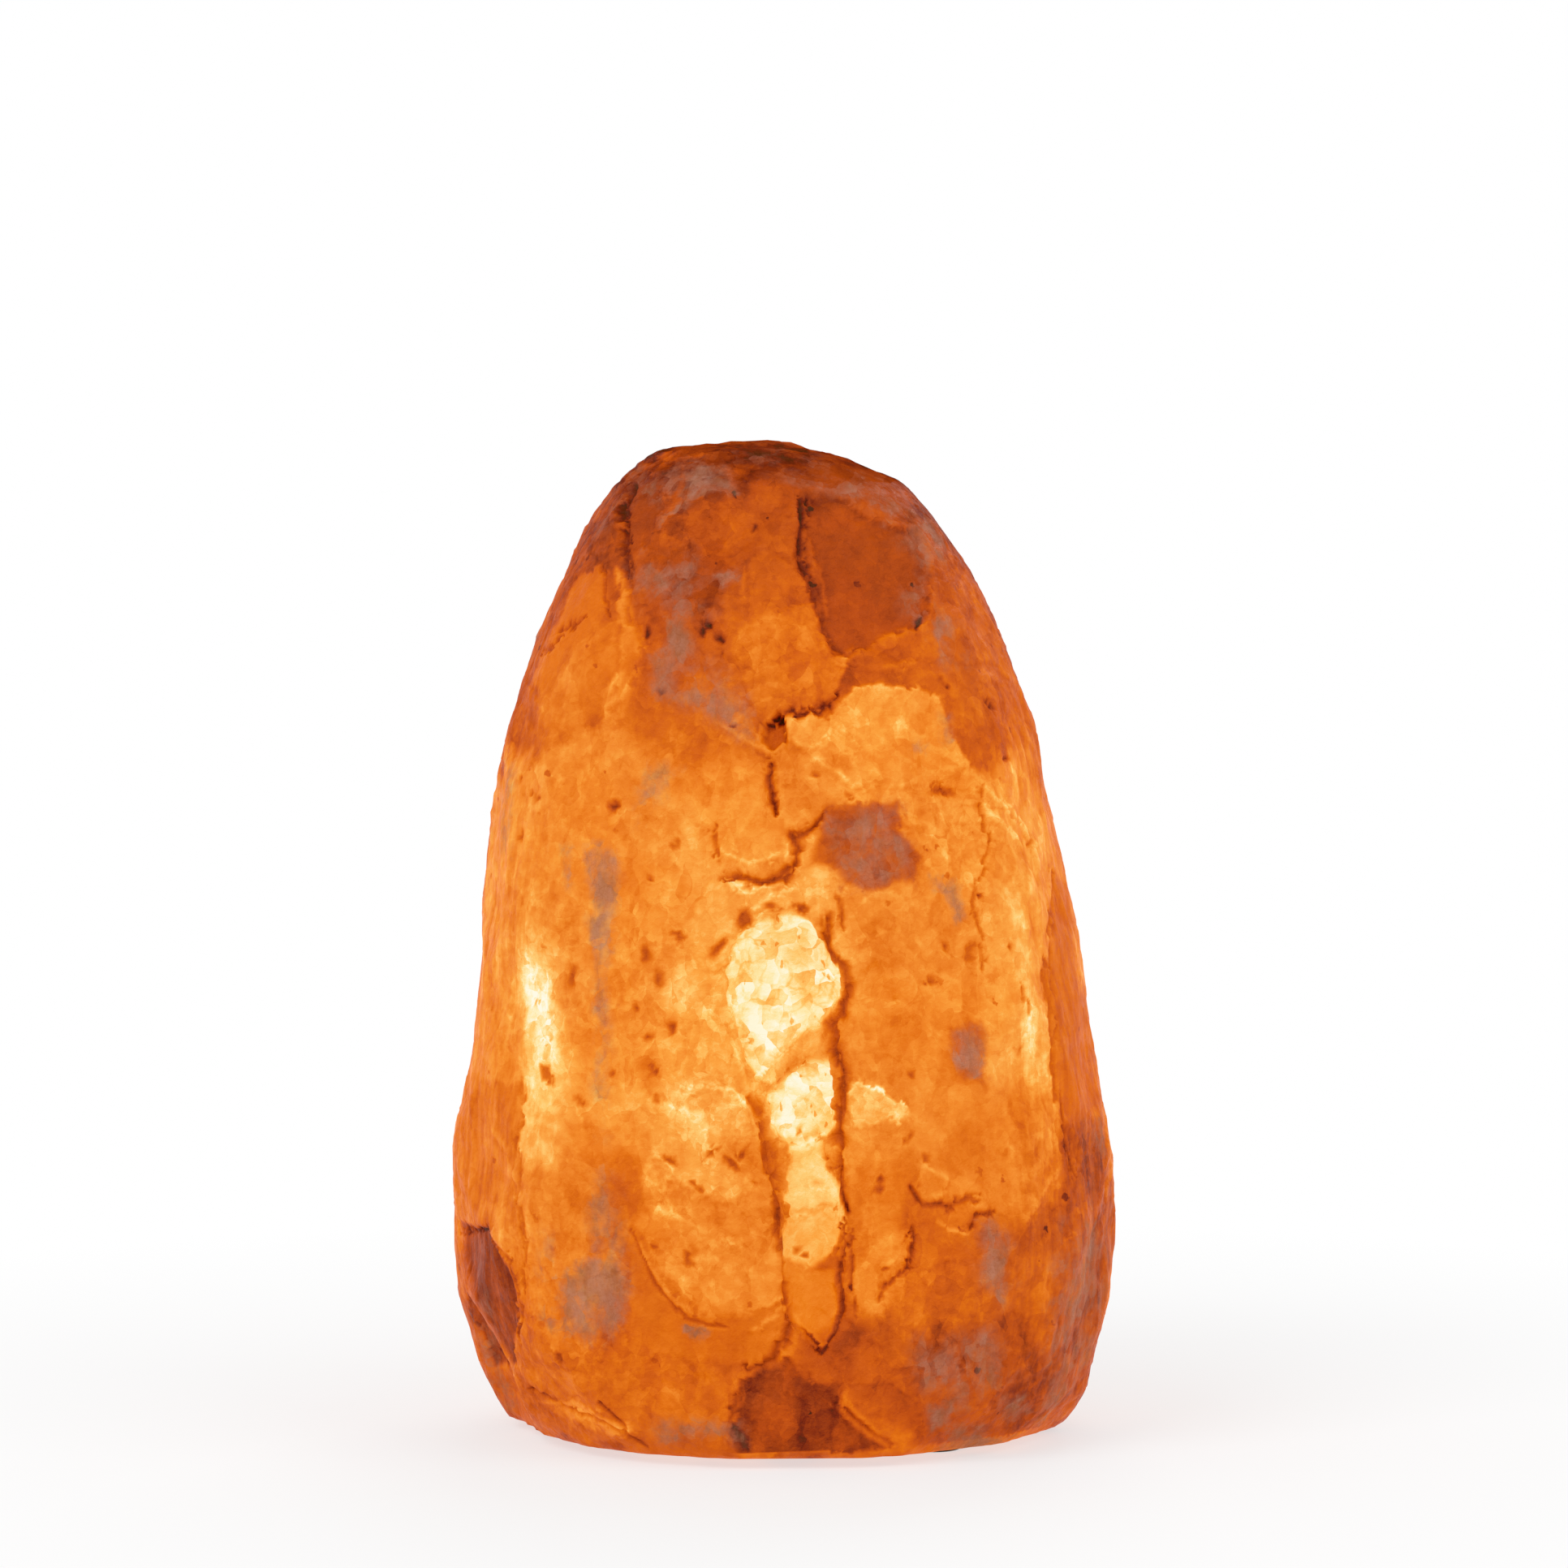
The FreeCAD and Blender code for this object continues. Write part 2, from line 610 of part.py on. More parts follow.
def centre_contact():
    """Arched spring leaf on the insert's deck, held by a rivet down to the live terminal."""
    half = CONTACT_LENGTH / 2
    low = INSERT_DECK_Z
    outer = Part.Arc(V(-half, 0, low), V(0, 0, CONTACT_TOP_Z), V(half, 0, low)).toShape()
    inner = Part.Arc(
        V(half - CONTACT_SHEET, 0, low),
        V(0, 0, CONTACT_TOP_Z - CONTACT_SHEET),
        V(-half + CONTACT_SHEET, 0, low),
    ).toShape()
    right = Part.LineSegment(V(half, 0, low), V(half - CONTACT_SHEET, 0, low)).toShape()
    left = Part.LineSegment(V(-half + CONTACT_SHEET, 0, low), V(-half, 0, low)).toShape()
    leaf = Part.Face(Part.Wire([outer, right, inner, left])).extrude(V(0, CONTACT_WIDTH, 0))
    leaf.translate(V(0, -CONTACT_WIDTH / 2, 0))
    rivet = rod(CONTACT_RIVET_DIAMETER / 2, INSERT_Z, CONTACT_TOP_Z - CONTACT_SHEET / 2)
    return leaf.fuse(rivet)


def terminal(side):
    """Brass terminal block in its pocket, with a wire hole across and a screw hole from below."""
    x = side * POCKET_OFFSET
    top = TERMINAL_TOP_Z
    low = TERMINAL_Z
    body = block(TERMINAL_WIDTH, TERMINAL_DEPTH, low, top, x)
    wire = Part.makeCylinder(
        WIRE_HOLE_DIAMETER / 2,
        TERMINAL_DEPTH + 2,
        V(x, -TERMINAL_DEPTH / 2 - 1, top - TERMINAL_HEIGHT * 0.4),
        V(0, 1, 0),
    )
    screw = rod(TERMINAL_SCREW_DIAMETER / 2 + FIT_GAP, low - 1, top - TERMINAL_HEIGHT * 0.4, x)
    return body.cut([wire, screw])


def terminal_screws():
    """The two slotted clamp screws, side by side under their terminals."""
    low = TERMINAL_Z
    tip = low + TERMINAL_HEIGHT * 0.6 - WIRE_HOLE_DIAMETER / 2
    screws = []
    for side in (-1, 1):
        x = side * POCKET_OFFSET
        head = rod(TERMINAL_HEAD_DIAMETER / 2, SCREW_HEAD_Z, low, x)
        shank = rod(TERMINAL_SCREW_DIAMETER / 2, low, tip, x)
        slot = block(
            TERMINAL_HEAD_DIAMETER + 1,
            SCREW_SLOT,
            SCREW_HEAD_Z - 1,
            SCREW_HEAD_Z + SCREW_SLOT,
            x,
        )
        screws.append(head.fuse(shank).cut(slot))
    return Part.makeCompound(screws)


def clip_plate():
    """Pressed steel disc round the holder: turned-down rim, vent holes and two rivet holes."""
    rim = BORE_RADIUS - PLATE_CLEARANCE
    hole = RING_BORE_RADIUS
    low = PLATE_Z - PLATE_RIM_HEIGHT + PLATE_THICKNESS
    disc = revolve(
        [
            (hole, PLATE_Z),
            (rim - PLATE_THICKNESS, PLATE_Z),
            (rim - PLATE_THICKNESS, low),
            (rim, low),
            (rim, PLATE_TOP_Z - PLATE_THICKNESS / 2),
            (
                rim - PLATE_THICKNESS / 2,
                PLATE_TOP_Z,
                "arc",
                rim - PLATE_THICKNESS * 0.15,
                PLATE_TOP_Z - PLATE_THICKNESS * 0.15,
            ),
            (hole, PLATE_TOP_Z),
        ]
    )
    vent_r = (RING_RADIUS + rim) / 2
    cuts = []
    for i in range(VENT_COUNT):
        spot = polar(vent_r, 45 + 360.0 * i / VENT_COUNT)
        cuts.append(rod(VENT_DIAMETER / 2, PLATE_Z - 1, PLATE_TOP_Z + 1, spot.x, spot.y))
    for bearing in CLIP_BEARINGS.values():
        spot = polar(rivet_radius(), bearing)
        cuts.append(rod(RIVET_SHANK / 2 + FIT_GAP, PLATE_Z - 1, PLATE_TOP_Z + 1, spot.x, spot.y))
    return disc.cut(cuts)


def locking_ring():
    """Notched ring nut that clamps the plate on the shell's shoulder."""
    low = PLATE_TOP_Z
    ring = tube(RING_RADIUS, RING_BORE_RADIUS, low, low + RING_HEIGHT)
    notches = []
    for i in range(RING_NOTCHES):
        spot = polar(RING_RADIUS + RING_NOTCH_DIAMETER * 0.2, 360.0 * i / RING_NOTCHES)
        notches.append(rod(RING_NOTCH_DIAMETER / 2, low - 1, low + RING_HEIGHT + 1, spot.x, spot.y))
    return ring.cut(notches)


# ---------------------------------------------------------------- spring clips
def rivet_radius():
    """Distance of the clip rivets from the bore's axis."""
    return CLIP_AXIS_R - CLIP_FOOT_LENGTH / 2


def clip_foot(bearing):
    """The clip's flat foot on the plate and its root bend."""
    inner = CLIP_BEND
    outer = CLIP_BEND + CLIP_THICKNESS
    corner = math.sin(math.radians(45))
    x = CLIP_AXIS_R
    z = CLIP_AXIS_Z
    start = x - CLIP_FOOT_LENGTH
    edges = [
        Part.LineSegment(V(start, 0, z - outer), V(x, 0, z - outer)).toShape(),
        Part.Arc(
            V(x, 0, z - outer),
            V(x + outer * corner, 0, z - outer * corner),
            V(x + outer, 0, z),
        ).toShape(),
        Part.LineSegment(V(x + outer, 0, z), V(x + inner, 0, z)).toShape(),
        Part.Arc(
            V(x + inner, 0, z),
            V(x + inner * corner, 0, z - inner * corner),
            V(x, 0, z - inner),
        ).toShape(),
        Part.LineSegment(V(x, 0, z - inner), V(start, 0, z - inner)).toShape(),
        Part.LineSegment(V(start, 0, z - inner), V(start, 0, z - outer)).toShape(),
    ]
    strip = Part.Face(Part.Wire(edges)).extrude(V(0, CLIP_WIDTH, 0))
    strip.translate(V(0, -CLIP_WIDTH / 2, 0))
    hole = rod(RIVET_SHANK / 2 + FIT_GAP, z - outer - 1, z - inner + 1, rivet_radius())
    return turned(strip.cut(hole), bearing)


def clip_feet():
    """Both clips' feet, which stay on the plate."""
    return Part.makeCompound([clip_foot(bearing) for bearing in CLIP_BEARINGS.values()])


def clip_wing(bearing):
    """The springy part of a clip: it leans out to an elbow on the bore's wall and back in to its tip."""
    root = CLIP_AXIS_R + CLIP_BEND
    elbow = CLIP_ELBOW_R
    tip = elbow - CLIP_TAIL_SET
    z = CLIP_AXIS_Z
    line = [(root, z), (root, z + 1), (elbow, z + CLIP_RISE), (tip, z + CLIP_RISE + CLIP_TAIL)]
    inside = [V(r, 0, height) for r, height in line]
    outside = [V(r + CLIP_THICKNESS, 0, height) for r, height in reversed(line)]
    outline = Part.makePolygon(inside + outside + inside[:1])
    wing = Part.Face(outline).extrude(V(0, CLIP_WIDTH, 0))
    wing.translate(V(0, -CLIP_WIDTH / 2, 0))
    taper = clip_taper(z)
    return turned(wing.common(taper), bearing)


def clip_taper(low):
    """The wing's outline seen from outside: full width at the root, narrower at a round tip."""
    half = CLIP_WIDTH / 2
    tip_half = half * 0.6
    top = low + CLIP_RISE + CLIP_TAIL
    shoulder = low + CLIP_RISE
    edges = [
        Part.LineSegment(V(0, -half, low), V(0, half, low)).toShape(),
        Part.LineSegment(V(0, half, low), V(0, half, shoulder)).toShape(),
        Part.LineSegment(V(0, half, shoulder), V(0, tip_half, top - tip_half)).toShape(),
        Part.Arc(V(0, tip_half, top - tip_half), V(0, 0, top), V(0, -tip_half, top - tip_half)).toShape(),
        Part.LineSegment(V(0, -tip_half, top - tip_half), V(0, -half, shoulder)).toShape(),
        Part.LineSegment(V(0, -half, shoulder), V(0, -half, low)).toShape(),
    ]
    return Part.Face(Part.Wire(edges)).extrude(V(BORE_RADIUS, 0, 0))


def clip_rivets():
    """Two rivets through the feet and the plate."""
    low = PLATE_Z
    high = PLATE_TOP_Z + CLIP_THICKNESS
    rivets = []
    for bearing in CLIP_BEARINGS.values():
        spot = polar(rivet_radius(), bearing)
        shank = rod(RIVET_SHANK / 2, low - RIVET_HEAD_HEIGHT, high + RIVET_HEAD_HEIGHT, spot.x, spot.y)
        under = rod(RIVET_HEAD / 2, low - RIVET_HEAD_HEIGHT, low, spot.x, spot.y)
        over = rod(RIVET_HEAD / 2, high, high + RIVET_HEAD_HEIGHT, spot.x, spot.y)
        rivets.append(shank.fuse([under, over]))
    return Part.makeCompound(rivets)


# ---------------------------------------------------------------- lamp
def lamp_eyelet():
    """The lamp's end contact, a small solder dome."""
    radius = EYELET_DIAMETER / 2
    rise = EYELET_HEIGHT * 0.6
    middle, middle_rise = dome_middle(radius, rise)
    return revolve(
        [
            (0, LAMP_Z),
            (radius, LAMP_Z + rise, "arc", middle, LAMP_Z + middle_rise),
            (radius, LAMP_Z + EYELET_HEIGHT),
            (0, LAMP_Z + EYELET_HEIGHT),
        ]
    )


def lamp_insulator():
    """Black glass disc between the end contact and the screw barrel."""
    low = LAMP_Z + EYELET_HEIGHT
    return revolve(
        [
            (0, low),
            (EYELET_DIAMETER / 2 + 0.4, low),
            (INSULATOR_DIAMETER / 2, low + INSULATOR_HEIGHT),
            (0, low + INSULATOR_HEIGHT),
        ]
    )


def lamp_cap():
    """Sheet metal screw barrel with a cone down to the insulator."""
    low = LAMP_Z + EYELET_HEIGHT + INSULATOR_HEIGHT
    outer = LAMP_CAP_DIAMETER / 2
    cone = INSULATOR_DIAMETER / 2
    sheet = LAMP_CAP_SHEET
    return revolve(
        [
            (0, low),
            (cone, low),
            (outer, low + LAMP_CAP_CONE),
            (outer, CAP_TOP_Z),
            (outer - sheet, CAP_TOP_Z),
            (outer - sheet, low + LAMP_CAP_CONE + sheet / 2),
            (cone - sheet / 2, low + sheet),
            (0, low + sheet),
        ]
    )


def lamp_glass():
    """Pear-shaped envelope: a straight neck that swells into a round top."""
    neck = GLASS_NECK_RADIUS
    ball = LAMP_DIAMETER / 2
    ball_z = LAMP_TOP_Z - ball
    wall = GLASS_WALL
    swell_z = CAP_TOP_Z + GLASS_NECK_RISE
    diagonal = math.sin(math.radians(45))

    def outline(inset):
        curve = Part.BSplineCurve()
        curve.interpolate(
            Points=[
                V(neck - inset, 0, swell_z),
                V((neck + ball) / 2 - inset, 0, (swell_z + ball_z) / 2 - 1.5),
                V(ball - inset, 0, ball_z),
            ],
            InitialTangent=V(0, 0, 1),
            FinalTangent=V(0, 0, 1),
        )
        dome = Part.Arc(
            V(ball - inset, 0, ball_z),
            V((ball - inset) * diagonal, 0, ball_z + (ball - inset) * diagonal),
            V(0, 0, ball_z + ball - inset),
        )
        straight = Part.LineSegment(V(neck - inset, 0, NECK_Z), V(neck - inset, 0, swell_z))
        return [straight.toShape(), curve.toShape(), dome.toShape()]

    outside = outline(0)
    inside = outline(wall)
    foot_edge = Part.LineSegment(V(neck - wall, 0, NECK_Z), V(neck, 0, NECK_Z)).toShape()
    crown_edge = Part.LineSegment(V(0, 0, LAMP_TOP_Z), V(0, 0, LAMP_TOP_Z - wall)).toShape()
    edges = [foot_edge] + outside + [crown_edge] + inside
    wire = Part.Wire(Part.__sortEdges__(edges))
    return Part.Face(wire).revolve(V(0, 0, 0), V(0, 0, 1), 360)


def lamp_stem():
    """Glass mount: a flare sealed in the neck, a tube and a flattened pinch."""
    flare = GLASS_NECK_RADIUS - GLASS_WALL - STEM_CLEARANCE
    radius = STEM_DIAMETER / 2
    low = NECK_Z + FIT_GAP
    body = revolve(
        [
            (0, low),
            (flare, low),
            (radius, low + 5.0, "arc", radius + 0.7, low + 2.2),
            (radius, PINCH_Z - 1.5),
            (0, PINCH_Z - 1.5),
        ]
    )
    pinch = block(STEM_DIAMETER * 1.5, STEM_DIAMETER * 0.6, PINCH_Z - PINCH_HEIGHT, PINCH_Z)
    bead = rod(BEAD_DIAMETER / 2, PINCH_Z, PINCH_Z + BEAD_HEIGHT)
    return body.fuse([pinch, bead])


def lamp_leads():
    """The two wires that carry the filament, spreading out of the pinch."""
    leads = []
    for side in (-1, 1):
        foot_point = V(side * STEM_DIAMETER * 0.5, 0, PINCH_Z + FIT_GAP)
        knee = V(side * STEM_DIAMETER * 0.5, 0, PINCH_Z + BEAD_HEIGHT)
        end = V(side * LEAD_SPREAD / 2, 0, PINCH_Z + FILAMENT_HEIGHT - FILAMENT_DIAMETER / 2)
        leads.append(round_bar([foot_point, knee, end], LEAD_DIAMETER))
    return Part.makeCompound(leads)


def lamp_filament():
    """The coiled wire, as the bar that its fine coil fills, bowed over the supports."""
    half = LEAD_SPREAD / 2
    z = PINCH_Z + FILAMENT_HEIGHT
    bow = Part.Arc(V(-half, 0, z), V(0, -FILAMENT_BOW, z), V(half, 0, z)).toShape()
    profile = Part.Wire(Part.makeCircle(FILAMENT_DIAMETER / 2, V(-half, 0, z), bow.tangentAt(bow.FirstParameter)))
    return Part.Wire(bow).makePipeShell([profile], True, False)


def lamp_support():
    """The wire that stands on the stem's bead and holds the filament's middle."""
    bead_top = PINCH_Z + BEAD_HEIGHT
    foot_point = V(0, 0, bead_top + FIT_GAP)
    knee = V(0, 0, bead_top + SUPPORT_KNEE)
    end = V(0, -FILAMENT_BOW, PINCH_Z + FILAMENT_HEIGHT - FILAMENT_DIAMETER / 2)
    return round_bar([foot_point, knee, end], SUPPORT_DIAMETER)


# ---------------------------------------------------------------- assembly
def build():
    """Every piece by its node name. The holder and lamp are moved onto the bore's axis."""
    on_axis = {
        "cord_gland": cord_gland(),
        "holder_cap": holder_cap(),
        "holder_shell": holder_shell(),
        "insulator_insert": insulator_insert(),
        "screw_shell": screw_shell(),
        "centre_contact": centre_contact(),
        "terminal_left": terminal(-1),
        "terminal_right": terminal(1),
        "terminal_screws": terminal_screws(),
        "clip_plate": clip_plate(),
        "locking_ring": locking_ring(),
        "clip_feet": clip_feet(),
        "clip_rivets": clip_rivets(),
        "lamp_eyelet": lamp_eyelet(),
        "lamp_insulator": lamp_insulator(),
        "lamp_cap": lamp_cap(),
        "lamp_glass": lamp_glass(),
        "lamp_stem": lamp_stem(),
        "lamp_leads": lamp_leads(),
        "lamp_filament": lamp_filament(),
        "lamp_support": lamp_support(),
    }
    for side, bearing in CLIP_BEARINGS.items():
        on_axis["clip_wing_" + side] = clip_wing(bearing)
    for shape in on_axis.values():
        shape.translate(V(BORE_X, BORE_Y, 0))

    pieces = {"salt_crystal": salt_crystal()}
    for name, bearing in FOOT_BEARINGS.items():
        pieces[name] = foot(bearing)
    pieces.update(on_axis)
    return pieces


def main():
    os.makedirs("parts", exist_ok=True)
    for name, shape in build().items():
        shape.exportStep(os.path.join("parts", name + ".step"))


main()
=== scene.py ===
"""Looks of a salt crystal lamp: the hewn block, lit from inside, and the clipped lampholder in its bore."""
import itertools
import json
import math

import bmesh
import bpy
import numpy as np
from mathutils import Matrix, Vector


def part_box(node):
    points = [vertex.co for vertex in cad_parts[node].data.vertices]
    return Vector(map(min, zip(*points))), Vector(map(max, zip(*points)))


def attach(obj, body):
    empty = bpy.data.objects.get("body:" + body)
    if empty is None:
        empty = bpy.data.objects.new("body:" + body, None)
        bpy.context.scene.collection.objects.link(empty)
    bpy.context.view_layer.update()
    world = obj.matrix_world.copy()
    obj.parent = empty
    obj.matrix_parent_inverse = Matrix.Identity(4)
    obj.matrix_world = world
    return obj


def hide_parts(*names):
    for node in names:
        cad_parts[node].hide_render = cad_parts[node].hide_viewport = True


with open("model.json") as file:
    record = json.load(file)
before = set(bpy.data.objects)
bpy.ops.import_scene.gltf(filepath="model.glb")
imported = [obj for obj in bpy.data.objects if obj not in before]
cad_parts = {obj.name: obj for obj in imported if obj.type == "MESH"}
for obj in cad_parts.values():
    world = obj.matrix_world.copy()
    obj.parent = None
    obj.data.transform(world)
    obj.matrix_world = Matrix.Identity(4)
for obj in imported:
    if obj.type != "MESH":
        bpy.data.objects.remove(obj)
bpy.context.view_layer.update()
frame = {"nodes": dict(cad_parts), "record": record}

MM = 1000
BX = 0.0015  # the bore's axis, x
BORE = 23  # mm, its radius
ROCK, ROCK_TOP = 25.5, 131  # mm from its axis and over the floor: within these, the solid's shape is kept
LAMP, LAMP_HALF = 95, 22  # mm, the lit part's middle and half its height
DIMMER = 0.0083  # glow lost in each mm of salt
PAINTED_LIGHT_WAY = (-0.25, -0.35, 0.9)  # painted shading: faces that turn this way are drawn brighter in the glow
VOXEL = 0.0022  # m, the block's even mesh
FINE, SHARP = 6, 5  # drawing units: the mesh is finest this near to drawn lines, and to edges this sharp
PITCH = 0.002822  # m, the thread on the lamp's cap
SHEET = 0.0003  # m, the cap's metal
PHOTO, SENSOR, LENS = 1932, 36, 145.3
CAMERA = Vector((-0.0003, -1.400, 0.240))
AIM = Vector((-0.0003, 0.0, 0.1435))


def rows(text):
    """Rows of a table: a name or none, numbers, and points. Rows end at a semicolon, or at a line's end unless
    the next line starts with a space."""
    found = []
    for line in text.strip().replace("\n ", " ").replace("; ", "\n").split("\n"):
        name, _, rest = line.rpartition(": ")
        words = rest.split()
        found.append([name] * bool(name) + [float(w) for w in words if "," not in w]
                     + [[tuple(map(float, w.split(","))) for w in words if "," in w]])
    return found
